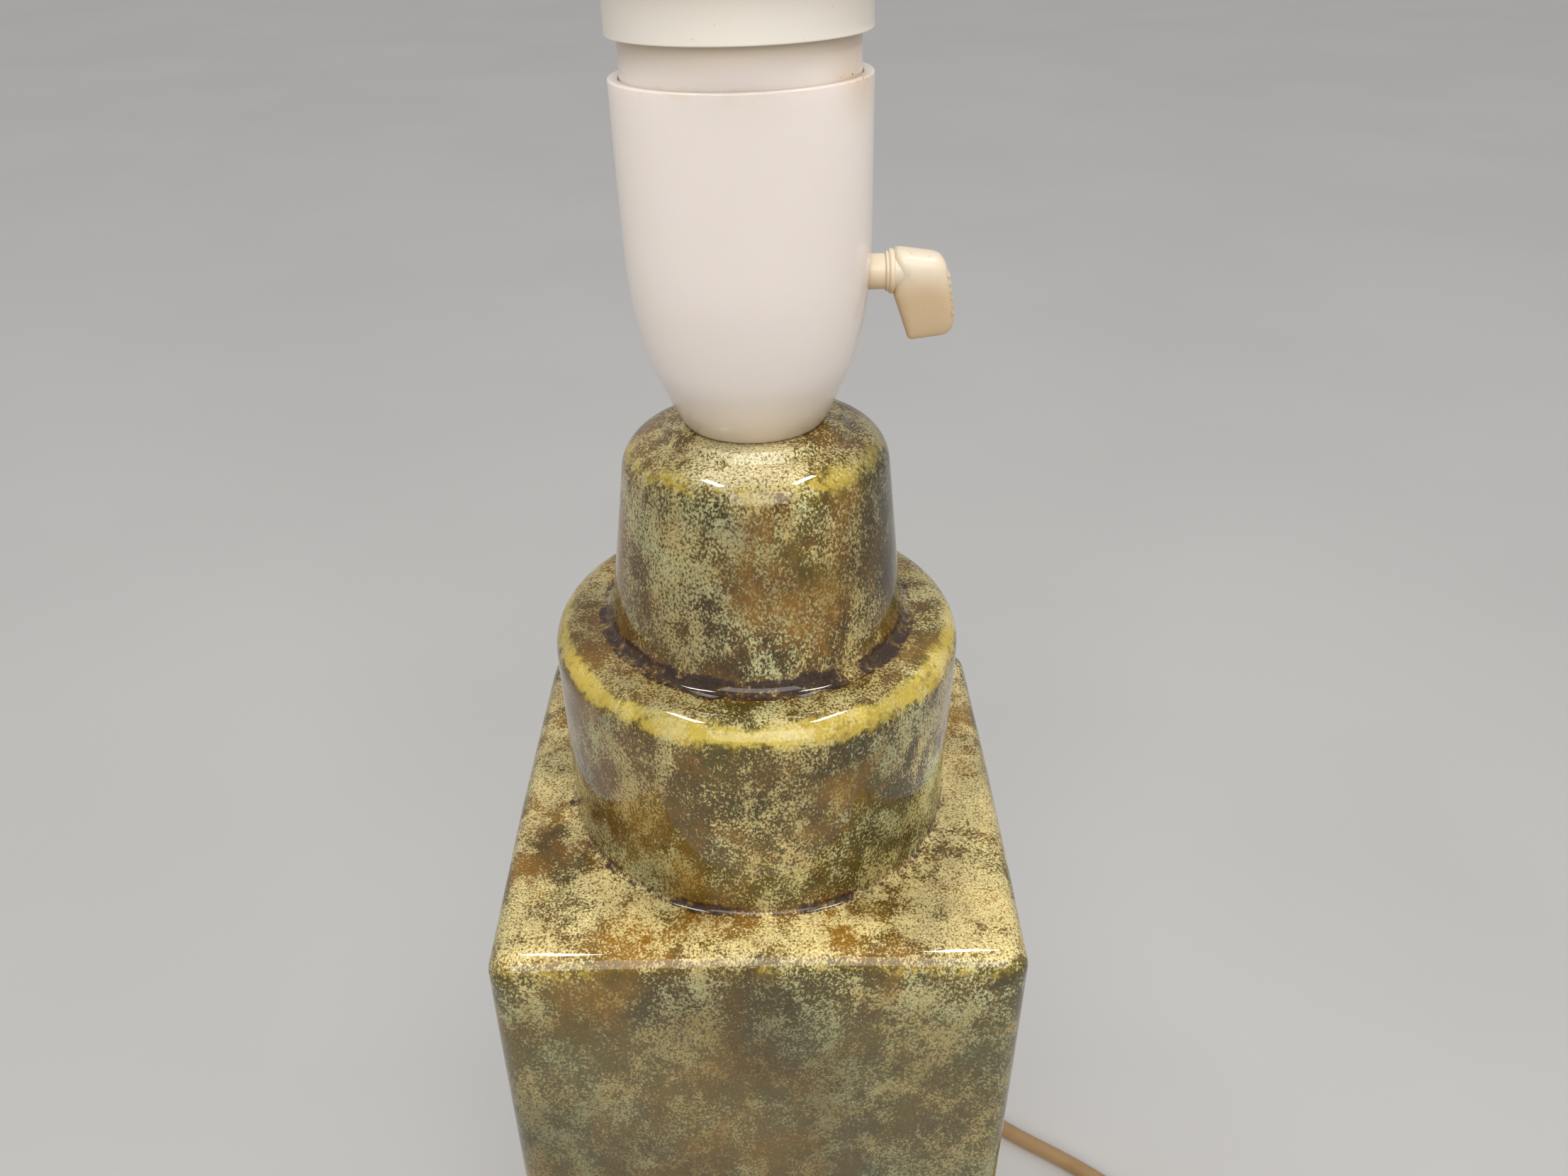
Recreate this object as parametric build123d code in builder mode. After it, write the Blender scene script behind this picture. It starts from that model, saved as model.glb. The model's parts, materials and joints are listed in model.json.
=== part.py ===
from build123d import *
from math import cos, pi, radians, sin, tan
import os

# Table lamp: a hollow glazed ceramic base in three steps, a plastic lampholder with a
# turn switch on top of it, and a mains cord that ends in a coil and a plug.
# Millimetres, +Z up, origin at the centre of the foot, on the table.

os.makedirs("parts", exist_ok=True)

# ceramic base
body_half = 50.8            # half of the square body's width
body_height = 215.0
body_corner = 5.0           # upright corners
hollow_corner = 2.0         # upright corners of the hollow
body_edge = 4.8             # rounding where the top meets the sides
drum_radius_low = 38.9      # the middle step, a short drum
drum_radius_top = 39.6
drum_height = 44.6
drum_edge = 5.5
cone_radius_low = 28.4      # the upper step, a blunt cone
cone_taper = 0.116          # radius lost per unit of height
cone_edge = 7.4
seat_height = 300.2         # centre of the lampholder's seat on the cone
wall = 6.0
top_wall = 8.0
cord_hole_height = 13.0
cord_hole_radius = 4.6
nipple_hole_radius = 5.4

# lampholder
lean_side = -1.62           # degrees, the seat's lean towards -X
lean_back = 2.93            # degrees, the seat's lean towards +Y
cup_height = 58.1
cup_profile = [(14.25, 3.4), (15.9, 7.4), (17.9, 12.3), (19.5, 18.7), (20.5, 26.6), (20.8, 37.4)]
cup_foot_radius = 12.3
cup_rim_radius = 21.0
cup_wall = 1.8
barrel_neck_radius = 19.1   # plain stretch above the cup's rim
thread_radius = 19.75       # the 40 mm shade-ring thread
thread_bore = 19.83         # a ring's bore on that thread
barrel_top = 99.0
barrel_wall = 2.6
mouth_radius = 15.0
shell_bore = 13.35          # takes an E27 cap
shell_wall = 0.7
ring_skirt_radius = 20.9
ring_flange_radius = 28.75
ring_flange = 2.2
ring_height = 12.0
lower_ring_foot = 64.2      # above the seat
ring_gap = 3.0              # between the two flanges

# switch
switch_height = 25.8        # spindle axis above the seat
spindle_radius = 3.0
spindle_end = 30.0          # distance from the lampholder's axis
knob_start = 22.9

# cord
cord_radius = 2.5
coil_mid_radius = 28.5
coil_columns = 3
coil_rows = 3
coil_centre = (104.0, -14.0)

base_top = body_height + drum_height
seat_origin = Vector(0, 0, seat_height)
seat_normal = Vector(tan(radians(lean_side)), tan(radians(lean_back)), 1)
holder = Plane(origin=seat_origin, x_dir=(1, 0, -seat_normal.X), z_dir=seat_normal)
holder_axis = Axis(seat_origin, holder.z_dir)
side_view = Plane(origin=seat_origin, x_dir=holder.x_dir, z_dir=-holder.y_dir)
spindle_origin = seat_origin + holder.z_dir * switch_height
spindle = Plane(origin=spindle_origin, x_dir=holder.y_dir, z_dir=holder.x_dir)
spindle_axis = Axis(spindle_origin, holder.x_dir)


def cone_radius(height):
    return cone_radius_low - cone_taper * (height - base_top)


# ceramic base
cut_height = seat_height + 12
hollow_top = seat_height - top_wall

with BuildPart() as ceramic_body:
    with BuildSketch():
        RectangleRounded(2 * body_half, 2 * body_half, body_corner)
    extrude(amount=body_height)
    fillet(ceramic_body.faces().sort_by(Axis.Z)[-1].edges(), body_edge)
    with BuildSketch(Plane.XZ):
        with BuildLine():
            Polyline((0, body_height - 1), (drum_radius_low, body_height - 1),
                     (drum_radius_top, base_top), (0, base_top), close=True)
        make_face()
    revolve(axis=Axis.Z)
    fillet(ceramic_body.edges().filter_by(GeomType.CIRCLE).sort_by(Axis.Z)[-1], drum_edge)
    with BuildSketch(Plane.XZ):
        with BuildLine():
            Polyline((0, base_top - 1), (cone_radius(base_top - 1), base_top - 1),
                     (cone_radius(cut_height), cut_height), (0, cut_height), close=True)
        make_face()
    revolve(axis=Axis.Z)
    split(bisect_by=holder, keep=Keep.BOTTOM)
    fillet(ceramic_body.faces().sort_by(Axis.Z)[-1].edges(), cone_edge)
    # the hollow follows the outside, a wall's thickness in
    with BuildSketch():
        RectangleRounded(2 * (body_half - wall), 2 * (body_half - wall), hollow_corner)
    extrude(amount=body_height - wall, mode=Mode.SUBTRACT)
    with BuildSketch(Plane.XZ):
        with BuildLine():
            Polyline((0, body_height - wall - 1), (drum_radius_low - wall, body_height - wall - 1),
                     (drum_radius_low - wall, base_top - wall), (cone_radius(base_top) - wall, base_top - wall),
                     (cone_radius(hollow_top) - wall, hollow_top), (0, hollow_top), close=True)
        make_face()
    revolve(axis=Axis.Z, mode=Mode.SUBTRACT)
    with BuildSketch(holder.offset(-3 * top_wall)):
        Circle(nipple_hole_radius)
    extrude(amount=4 * top_wall, mode=Mode.SUBTRACT)
    with BuildSketch(Plane.XZ.offset(-body_half - 1)):
        with Locations((0, cord_hole_height)):
            Circle(cord_hole_radius)
    extrude(amount=2 * wall, mode=Mode.SUBTRACT)
ceramic_body.part.label = "ceramic_body"

# a flanged bush lines the cord's hole; its flange lies on the back
bush_flange = 1.8
rear = Plane(origin=(0, body_half, cord_hole_height), x_dir=(-1, 0, 0), z_dir=(0, 1, 0))
with BuildPart() as cord_bush:
    with BuildSketch(rear.offset(-wall - 2)):
        Circle(cord_hole_radius - 0.05)
    extrude(amount=wall + 2.5)
    with BuildSketch(rear.offset(0.02)):
        Circle(6.6)
    extrude(amount=bush_flange)
    fillet(cord_bush.faces().sort_by(Axis.Y)[-1].edges(), 0.8)
    with BuildSketch(rear.offset(-wall - 3)):
        Circle(cord_radius + 0.05)
    extrude(amount=wall + bush_flange + 4, mode=Mode.SUBTRACT)
cord_bush.part.label = "cord_bush"

# a two-screw clamp on the cord keeps it from being pulled out through the bush
stop_depth = 8.0
stop_width = 24.0
stop_height = 12.0
stop_screw_spacing = 16.0
stop_screw_radius = 1.5
stop_plane = rear.offset(-wall - 4 - stop_depth)
with BuildPart() as cord_stop:
    with BuildSketch(stop_plane):
        RectangleRounded(stop_width, stop_height, 2)
        Circle(cord_radius + 0.02, mode=Mode.SUBTRACT)
        with GridLocations(stop_screw_spacing, 0, 2, 1):
            Circle(stop_screw_radius + 0.1, mode=Mode.SUBTRACT)
    extrude(amount=stop_depth)
cord_stop.part.label = "cord_stop"

with BuildPart() as cord_stop_screws:
    with BuildSketch(stop_plane):
        with GridLocations(stop_screw_spacing, 0, 2, 1):
            Circle(stop_screw_radius)
    extrude(amount=stop_depth)
    with BuildSketch(stop_plane):
        with GridLocations(stop_screw_spacing, 0, 2, 1):
            Circle(2.8)
    extrude(amount=-2)
    with BuildSketch(stop_plane.offset(-2)):
        with GridLocations(stop_screw_spacing, 0, 2, 1):
            Rectangle(6, 0.8)
    extrude(amount=0.9, mode=Mode.SUBTRACT)
cord_stop_screws.part.label = "cord_stop_screws"

# threaded tube and nut
nipple_radius = 5.0
nipple_bore = 3.6
nut_height = 5.0
washer_radius = 9.5
washer_height = 1.5
washer_top = -top_wall - 0.85
tube_below = 4.0            # how far the tube stands out under its nut
tube_above = 11.0           # and up into the cup's boss
with BuildPart() as threaded_tube:
    with BuildSketch(holder.offset(washer_top - washer_height - nut_height - tube_below)):
        Circle(nipple_radius)
        Circle(nipple_bore, mode=Mode.SUBTRACT)
    extrude(amount=-washer_top + washer_height + nut_height + tube_below + tube_above)
    chamfer(threaded_tube.faces().sort_by(holder_axis)[-1].edges(), 0.5)
threaded_tube.part.label = "threaded_tube"

with BuildPart() as tube_washer:
    with BuildSketch(holder.offset(washer_top)):
        Circle(washer_radius)
        Circle(nipple_radius + 0.1, mode=Mode.SUBTRACT)
    extrude(amount=-washer_height)
tube_washer.part.label = "tube_washer"

with BuildPart() as tube_nut:
    with BuildSketch(holder.offset(washer_top - washer_height)):
        RegularPolygon(7.0, 6, major_radius=False)
        Circle(nipple_radius + 0.01, mode=Mode.SUBTRACT)
    extrude(amount=-nut_height)
tube_nut.part.label = "tube_nut"

# lampholder cup
cup_floor = 3.0
boss_radius = 8.6
boss_height = 13.0
grip_screw_spacing = 2 * boss_radius + 2
grub_height = 8.0
with BuildPart() as holder_cup:
    with BuildSketch(side_view):
        with BuildLine():
            Spline([(cup_foot_radius, 0)] + cup_profile + [(cup_rim_radius, cup_height)],
                   tangents=[(0.75, 1), (0.02, 1)])
            Line((cup_rim_radius, cup_height), (cup_rim_radius - cup_wall, cup_height))
            Line((cup_rim_radius - cup_wall, cup_height), (cup_rim_radius - cup_wall, cup_height - 14))
            Spline((cup_rim_radius - cup_wall, cup_height - 14), (18.4, 24), (cup_foot_radius - 0.5, cup_floor),
                   tangents=[(0, -1), (-1, -0.9)])
            Line((cup_foot_radius - 0.5, cup_floor), (0, cup_floor))
            Line((0, cup_floor), (0, 0))
            Line((0, 0), (cup_foot_radius, 0))
        make_face()
    revolve(axis=holder_axis)
    with BuildSketch(holder.offset(cup_floor)):
        Circle(boss_radius)
        with GridLocations(0, grip_screw_spacing, 1, 2):
            Circle(2.4)
    extrude(amount=boss_height - cup_floor)
    with BuildSketch(holder.offset(-1)):
        Circle(nipple_radius + 0.01)
    extrude(amount=boss_height + 2, mode=Mode.SUBTRACT)
    with BuildSketch(spindle.offset(12)):
        Circle(spindle_radius + 0.25)
    extrude(amount=12, mode=Mode.SUBTRACT)
    with BuildSketch(Plane(origin=seat_origin + holder.z_dir * grub_height, x_dir=holder.y_dir, z_dir=-holder.x_dir)):
        Circle(1.5)
    extrude(amount=boss_radius + 0.5, mode=Mode.SUBTRACT)
holder_cup.part.label = "holder_cup"

# a grub screw in the boss locks the cup on the threaded tube
with BuildPart() as cup_grub_screw:
    with BuildSketch(Plane(origin=seat_origin + holder.z_dir * grub_height - holder.x_dir * (nipple_radius + 0.02),
                           x_dir=holder.y_dir, z_dir=-holder.x_dir)):
        Circle(1.45)
    extrude(amount=3.4)
cup_grub_screw.part.label = "cup_grub_screw"

# the saddle that grips the cord inside the cup, with its two screws
grip_height = 3.4
with BuildPart() as cord_grip:
    with BuildSketch(holder.offset(boss_height + 0.02)):
        RectangleRounded(7.5, 24, 2)
        Circle(cord_radius + 0.02, mode=Mode.SUBTRACT)
        with GridLocations(0, grip_screw_spacing, 1, 2):
            Circle(1.3, mode=Mode.SUBTRACT)
    extrude(amount=grip_height)
cord_grip.part.label = "cord_grip"

with BuildPart() as cord_grip_screws:
    with BuildSketch(holder.offset(boss_height + 0.02)):
        with GridLocations(0, grip_screw_spacing, 1, 2):
            Circle(1.2)
    extrude(amount=grip_height)
    with BuildSketch(holder.offset(boss_height + 0.02 + grip_height)):
        with GridLocations(0, grip_screw_spacing, 1, 2):
            Circle(2.2)
    extrude(amount=1.6)
    with BuildSketch(holder.offset(boss_height + grip_height + 1)):
        with GridLocations(0, grip_screw_spacing, 1, 2):
            Rectangle(0.6, 5)
    extrude(amount=2, mode=Mode.SUBTRACT)
cord_grip_screws.part.label = "cord_grip_screws"

# barrel and contacts
barrel_foot = 50.0
neck_top = 67.5
thread_relief = 90.6        # a narrow groove sets the thread's free end apart
free_thread = 91.4
relief_depth = 0.4
with BuildPart() as holder_barrel:
    with BuildSketch(side_view):
        with BuildLine():
            Polyline((barrel_neck_radius - barrel_wall, barrel_foot), (barrel_neck_radius, barrel_foot),
                     (barrel_neck_radius, neck_top), (thread_radius, neck_top + 0.7),
                     (thread_radius, thread_relief), (thread_radius - relief_depth, thread_relief),
                     (thread_radius - relief_depth, free_thread), (thread_radius, free_thread),
                     (thread_radius, barrel_top - 0.8), (thread_radius - 0.8, barrel_top),
                     (mouth_radius + 0.8, barrel_top), (mouth_radius, barrel_top - 0.8),
                     (mouth_radius, barrel_top - 6), (barrel_neck_radius - barrel_wall, barrel_top - 6), close=True)
        make_face()
    revolve(axis=holder_axis)
holder_barrel.part.label = "holder_barrel"

block_foot = 58.0
block_top = 66.0
terminal_spacing = 18.0
with BuildPart() as contact_block:
    with BuildSketch(holder.offset(block_foot)):
        Circle(barrel_neck_radius - barrel_wall - 0.05)
        with GridLocations(terminal_spacing, 0, 2, 1):
            Circle(2.1, mode=Mode.SUBTRACT)
    extrude(amount=block_top - block_foot)
    with BuildSketch(holder.offset(block_top - 1.6)):
        Circle(mouth_radius - 3.5)
    extrude(amount=2, mode=Mode.SUBTRACT)
contact_block.part.label = "contact_block"

shell_step = 71.4
with BuildPart() as screw_shell:
    with BuildSketch(side_view):
        with BuildLine():
            Polyline((11.0, block_top + 0.02), (12.9, block_top + 0.02), (12.9, shell_step - 0.7),
                     (shell_bore + shell_wall, shell_step), (shell_bore + shell_wall, barrel_top - 7),
                     (shell_bore, barrel_top - 7), (shell_bore, shell_step), (12.2, shell_step - 0.7),
                     (12.2, block_top + 0.72), (11.0, block_top + 0.72), close=True)
        make_face()
    revolve(axis=holder_axis)
screw_shell.part.label = "screw_shell"

with BuildPart() as centre_contact:
    with BuildSketch(side_view):
        with BuildLine():
            Polyline((-9, block_top - 1.58), (-3, block_top - 1.58), (4.2, block_top + 3.4), (7.0, block_top + 3.0),
                     (7.0, block_top + 3.7), (4.0, block_top + 4.2), (-3.3, block_top - 0.9),
                     (-9, block_top - 0.9), close=True)
        make_face()
    extrude(amount=3, both=True)
centre_contact.part.label = "centre_contact"

with BuildPart() as side_contact:
    with BuildSketch(side_view):
        with BuildLine():
            Polyline((8, block_top - 1.58), (10.4, block_top - 1.58), (10.7, block_top + 0.78),
                     (11.9, block_top + 0.78), (11.9, block_top + 1.3), (10.2, block_top + 1.3),
                     (9.9, block_top - 0.9), (8, block_top - 0.9), close=True)
        make_face()
    extrude(amount=2, both=True)
side_contact.part.label = "side_contact"

terminal_height = 7.0
with BuildPart() as terminals:
    with BuildSketch(holder.offset(block_foot - terminal_height - 0.02)):
        with GridLocations(terminal_spacing, 0, 2, 1):
            Circle(2.8)
    extrude(amount=terminal_height)
    with BuildSketch(holder.offset(block_foot - 1)):
        with GridLocations(terminal_spacing, 0, 2, 1):
            Circle(2.0)
    extrude(amount=block_top - block_foot - 0.6)
    with BuildSketch(holder.offset(block_foot - terminal_height - 1)):
        with GridLocations(terminal_spacing, 0, 2, 1):
            Circle(1.0)
    extrude(amount=4.5, mode=Mode.SUBTRACT)
terminals.part.label = "terminals"

terminal_screw_plane = Plane(origin=seat_origin + holder.z_dir * (block_foot - 4), x_dir=holder.x_dir,
                             z_dir=-holder.y_dir)
with BuildPart() as terminal_screws:
    with BuildSketch(terminal_screw_plane.offset(2.85)):
        with GridLocations(terminal_spacing, 0, 2, 1):
            Circle(1.9)
    extrude(amount=2.2)
    with BuildSketch(terminal_screw_plane.offset(4.4)):
        with GridLocations(terminal_spacing, 0, 2, 1):
            Rectangle(5, 0.6)
    extrude(amount=1, mode=Mode.SUBTRACT)
terminal_screws.part.label = "terminal_screws"

# shade rings
ring_lip = ring_height - ring_flange


def shade_ring_face(foot, flange_up):
    # the ring's section: a threaded skirt with a flange at one end
    flange_foot = foot + ring_lip if flange_up else foot
    skirt_foot = foot if flange_up else foot + ring_flange
    with BuildSketch(side_view, mode=Mode.PRIVATE) as section:
        with Locations(((thread_bore + ring_skirt_radius) / 2, skirt_foot + ring_lip / 2)):
            Rectangle(ring_skirt_radius - thread_bore, ring_lip)
        with Locations(((thread_bore + ring_flange_radius) / 2, flange_foot + ring_flange / 2)):
            Rectangle(ring_flange_radius - thread_bore, ring_flange)
    return section.sketch


with BuildPart() as shade_ring_lower:
    add(shade_ring_face(lower_ring_foot, True))
    revolve(axis=holder_axis)
    fillet(shade_ring_lower.edges().filter_by(GeomType.CIRCLE).sort_by(SortBy.RADIUS)[-2:], 0.7)
shade_ring_lower.part.label = "shade_ring_lower"

upper_ring_foot = lower_ring_foot + ring_height + ring_gap
with BuildPart() as shade_ring_upper:
    add(shade_ring_face(upper_ring_foot, False))
    revolve(axis=holder_axis)
    fillet(shade_ring_upper.edges().filter_by(GeomType.CIRCLE).sort_by(SortBy.RADIUS)[-2:], 0.7)
shade_ring_upper.part.label = "shade_ring_upper"

# turn switch
frame_height = 15.0
frame_width = 15.0
frame_near = 2.0
frame_far = 14.4
with BuildPart() as switch_frame:
    with BuildSketch(spindle.offset(frame_near)):
        Rectangle(frame_width, frame_height)
    extrude(amount=frame_far - frame_near)
    with BuildSketch(spindle.offset(frame_near - 1)):
        Rectangle(frame_width - 2.4, frame_height - 2.4)
    extrude(amount=frame_far - frame_near - 1, mode=Mode.SUBTRACT)
    with BuildSketch(spindle):
        Circle(spindle_radius + 0.06)
    extrude(amount=frame_far + 2, mode=Mode.SUBTRACT)
switch_frame.part.label = "switch_frame"

rotor_start = 3.5
rotor_end = 11.2
with BuildPart() as switch_rotor:
    with BuildSketch(spindle.offset(rotor_start)):
        Circle(4.8)
        with GridLocations(10.2, 0, 2, 1):
            Rectangle(2.0, 12, mode=Mode.SUBTRACT)
        Circle(spindle_radius + 0.01, mode=Mode.SUBTRACT)
    extrude(amount=rotor_end - rotor_start)
switch_rotor.part.label = "switch_rotor"

with BuildPart() as rotor_contact:
    with BuildSketch(spindle.offset(rotor_end + 0.02)):
        Circle(3.9)
        Rectangle(2.6, 9.6)
        Circle(spindle_radius + 0.01, mode=Mode.SUBTRACT)
    extrude(amount=0.8)
rotor_contact.part.label = "rotor_contact"

with BuildPart() as switch_spindle:
    with BuildSketch(spindle.offset(frame_near + 0.4)):
        Circle(spindle_radius)
    extrude(amount=knob_start - frame_near - 0.4)
    with BuildSketch(spindle.offset(knob_start)):
        Circle(spindle_radius - 0.8)
    extrude(amount=spindle_end - knob_start)
    chamfer(switch_spindle.faces().sort_by(spindle_axis)[-1].edges(), 0.4)
switch_spindle.part.label = "switch_spindle"

contact_reach = 5.6
with BuildPart() as switch_contacts:
    with BuildSketch(spindle.offset(6)):
        with GridLocations(2 * contact_reach, 0, 2, 1):
            Rectangle(0.6, 11)
    extrude(amount=5)
switch_contacts.part.label = "switch_contacts"

with BuildPart() as switch_spring:
    with BuildSketch(spindle.offset(5)):
        with Locations((0, 5.4)):
            Rectangle(9.6, 0.4)
        with Locations((0, 5.85)):
            Rectangle(3, 0.6)
    extrude(amount=6)
switch_spring.part.label = "switch_spring"

# the knob: a stepped hub, then a lever that hangs below the spindle
knob_half_width = 4.1
hub_end = knob_start + 1.5
lever_top = switch_height + 4.1
lever_foot = switch_height - 11.9
with BuildPart() as switch_knob:
    with BuildSketch(spindle.offset(knob_start)):
        Circle(3.35)
    extrude(amount=0.7)
    with BuildSketch(spindle.offset(knob_start + 0.7)):
        Circle(3.75)
    extrude(amount=0.9)
    with BuildSketch(side_view.offset(-knob_half_width)) as lever:
        with BuildLine():
            Polyline((hub_end, switch_height - 3.8), (hub_end, lever_top), (hub_end + 8.6, lever_top - 1.3),
                     (hub_end + 10.4, switch_height - 7.0), (hub_end + 10.3, lever_foot),
                     (hub_end + 2.7, lever_foot), close=True)
        make_face()
        fillet(lever.vertices().sort_by(spindle_axis)[-3:], 2.2)
    extrude(amount=2 * knob_half_width)
    # both cheeks draw in towards the lever's end
    for side in (1, -1):
        cheek_origin = spindle_origin + holder.y_dir * (side * knob_half_width) + holder.z_dir * 4.0
        cheek_normal = holder.y_dir * side - holder.z_dir * 0.11
        split(bisect_by=Plane(origin=cheek_origin, z_dir=cheek_normal), keep=Keep.BOTTOM)
    with BuildSketch(spindle.offset(knob_start - 1)):
        Circle(spindle_radius - 0.78)
    extrude(amount=spindle_end - knob_start + 1.2, mode=Mode.SUBTRACT)
switch_knob.part.label = "switch_knob"

# cord inside the lamp
cord_back = body_half + 0.02 + bush_flange
tube_axis_low = seat_origin - holder.z_dir * 42
inner_route = [Vector(0, cord_back, cord_hole_height), Vector(0, 12, cord_hole_height), Vector(0, 1, 62),
               Vector(0, -3, 130), Vector(0, -3.5, 205), tube_axis_low,
               seat_origin + holder.z_dir * 18]


def corner_radii(points, share=0.45):
    # the largest arc at each corner that leaves the rest of both runs straight
    radii = []
    for before, corner, after in zip(points, points[1:], points[2:]):
        turn = radians((corner - before).get_angle(after - corner))
        shorter = min((corner - before).length, (after - corner).length)
        radii.append(share * shorter / tan(turn / 2))
    return radii


with BuildPart() as inner_cord:
    with BuildLine():
        FilletPolyline(*inner_route, radius=corner_radii(inner_route))
    with BuildSketch(Plane(origin=inner_route[0], z_dir=(0, -1, 0))):
        Circle(cord_radius)
    sweep()
inner_cord.part.label = "inner_cord"

lead_radius = 0.95


def holder_point(across, along, up):
    return seat_origin + holder.x_dir * across + holder.y_dir * along + holder.z_dir * up


switch_lead_route = [holder_point(-0.6, 1.2, 18.02), holder_point(-0.6, 1.2, 22), holder_point(-2.5, 4.5, 30),
                     holder_point(0.0, 7.5, 38), holder_point(5.5, 4.5, 44), holder_point(9.0, 0.6, 47),
                     holder_point(9.0, 0, 50.9)]
neutral_lead_route = [holder_point(-0.6, -1.2, 18.02), holder_point(-0.6, -1.2, 22), holder_point(-5.5, -2.5, 36),
                      holder_point(-9.0, -0.4, 46), holder_point(-9.0, 0, 50.9)]
with BuildPart() as lead_switched:
    with BuildLine():
        FilletPolyline(*switch_lead_route, radius=corner_radii(switch_lead_route))
    with BuildSketch(Plane(origin=switch_lead_route[0], z_dir=switch_lead_route[1] - switch_lead_route[0])):
        Circle(lead_radius)
    sweep()
lead_switched.part.label = "lead_switched"

with BuildPart() as lead_neutral:
    with BuildLine():
        FilletPolyline(*neutral_lead_route, radius=corner_radii(neutral_lead_route))
    with BuildSketch(Plane(origin=neutral_lead_route[0], z_dir=neutral_lead_route[1] - neutral_lead_route[0])):
        Circle(lead_radius)
    sweep()
lead_neutral.part.label = "lead_neutral"

# mains cord on the table
floor_line = cord_radius
coil_x, coil_y = coil_centre
mains_route = [Vector(0, cord_back, 13.0), Vector(0, 69.5, 12.6), Vector(8.8, 85.5, 8.2), Vector(24.5, 95.0, 4.0),
               Vector(43.0, 93.0, floor_line), Vector(60.5, 78.5, floor_line), Vector(82.0, 59.0, floor_line),
               Vector(105.0, 45.0, floor_line), Vector(124.0, 29.0, floor_line), Vector(134.5, 9.0, floor_line),
               Vector(135.5, -9.0, floor_line)]
print("mains cord radii", [round(r, 1) for r in corner_radii(mains_route)])
with BuildPart() as mains_cord:
    with BuildLine() as mains_line:
        FilletPolyline(*mains_route, radius=corner_radii(mains_route))
    with BuildSketch(Plane(origin=mains_route[0], z_dir=(0, 1, 0))):
        Circle(cord_radius)
    sweep()
mains_cord.part.label = "mains_cord"
mains_length = sum(edge.length for edge in mains_line.line.edges())
mains_volume = mains_length * pi * cord_radius ** 2
print("mains cord length", round(mains_length, 1), "volume ratio", round(mains_cord.part.volume / mains_volume, 4))

coil_half_width = coil_columns * cord_radius + 0.5
coil_height = 2 * coil_rows * cord_radius + 0.4
with BuildPart() as cord_coil:
    with BuildSketch(Plane(origin=(coil_x, coil_y, 0), x_dir=(1, 0, 0), z_dir=(0, -1, 0))):
        with Locations((coil_mid_radius, coil_height / 2)):
            RectangleRounded(2 * coil_half_width, coil_height, cord_radius)
    revolve(axis=Axis((coil_x, coil_y, 0), (0, 0, 1)))
cord_coil.part.label = "cord_coil"

# a tie of thin wire round the coil, on the side away from the plug
tie_angle = 215.0
tie_plane = Plane(origin=(coil_x + coil_mid_radius * cos(radians(tie_angle)),
                          coil_y + coil_mid_radius * sin(radians(tie_angle)), coil_height / 2),
                  x_dir=(cos(radians(tie_angle)), sin(radians(tie_angle)), 0),
                  z_dir=(-sin(radians(tie_angle)), cos(radians(tie_angle)), 0))
tie_wall = 0.7
tie_width = 4.0
with BuildPart() as coil_tie:
    with BuildSketch(tie_plane.offset(-tie_width / 2)):
        with Locations((0, -tie_wall / 2 - 0.02)):
            RectangleRounded(2 * coil_half_width + 2 * tie_wall, coil_height + tie_wall, cord_radius)
        RectangleRounded(2 * coil_half_width + 0.3, coil_height + 0.04, cord_radius, mode=Mode.SUBTRACT)
    extrude(amount=tie_width)
coil_tie.part.label = "coil_tie"

# plug, beside the coil
plug_half_height = 6.9
plug_z = plug_half_height + 0.05
plug_y = -71.0
sleeve_length = 14.0
body_start = 102.0          # x where the sleeve ends and the body starts
body_length = 34.0
plug_neck_width = 13.0
plug_waist_width = 30.0
plug_face_width = 35.3
pin_radius = 2.0
pin_length = 19.0
pin_spacing = 18.6
plug_plane = Plane(origin=(body_start, plug_y, plug_z), x_dir=(0, 1, 0), z_dir=(-1, 0, 0))

# the cord's last stretch comes down off the coil and bends round into the plug
tail_route = [Vector(136.0, -8.0, 11.0), Vector(139.3, -28.0, 6.6), Vector(138.5, -49.8, 3.2),
              Vector(130.7, -63.2, 4.4), Vector(117.3, plug_y, 6.4), Vector(body_start, plug_y, plug_z)]
print("cord tail radii", [round(r, 1) for r in corner_radii(tail_route)])
with BuildPart() as cord_tail:
    with BuildLine():
        FilletPolyline(*tail_route, radius=corner_radii(tail_route))
    with BuildSketch(Plane(origin=tail_route[0], z_dir=tail_route[1] - tail_route[0])):
        Circle(cord_radius)
    sweep()
cord_tail.part.label = "cord_tail"

with BuildPart() as plug_sleeve:
    with BuildSketch(plug_plane.offset(-sleeve_length)):
        Circle(cord_radius + 0.9)
    with BuildSketch(plug_plane.offset(-0.02)):
        Circle(cord_radius + 2.1)
    loft()
    with BuildSketch(plug_plane.offset(-sleeve_length - 1)):
        Circle(cord_radius + 0.01)
    extrude(amount=sleeve_length + 2, mode=Mode.SUBTRACT)
plug_sleeve.part.label = "plug_sleeve"

with BuildPart() as plug_body:
    with BuildSketch(plug_plane.offset(0.02)):
        RectangleRounded(plug_neck_width, 2 * plug_half_height - 2, 4)
    with BuildSketch(plug_plane.offset(0.55 * body_length)):
        RectangleRounded(plug_waist_width, 2 * plug_half_height, 6.4)
    with BuildSketch(plug_plane.offset(body_length)):
        RectangleRounded(plug_face_width, 2 * plug_half_height, 6.8)
    loft(ruled=True)
plug_body.part.label = "plug_body"

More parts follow.
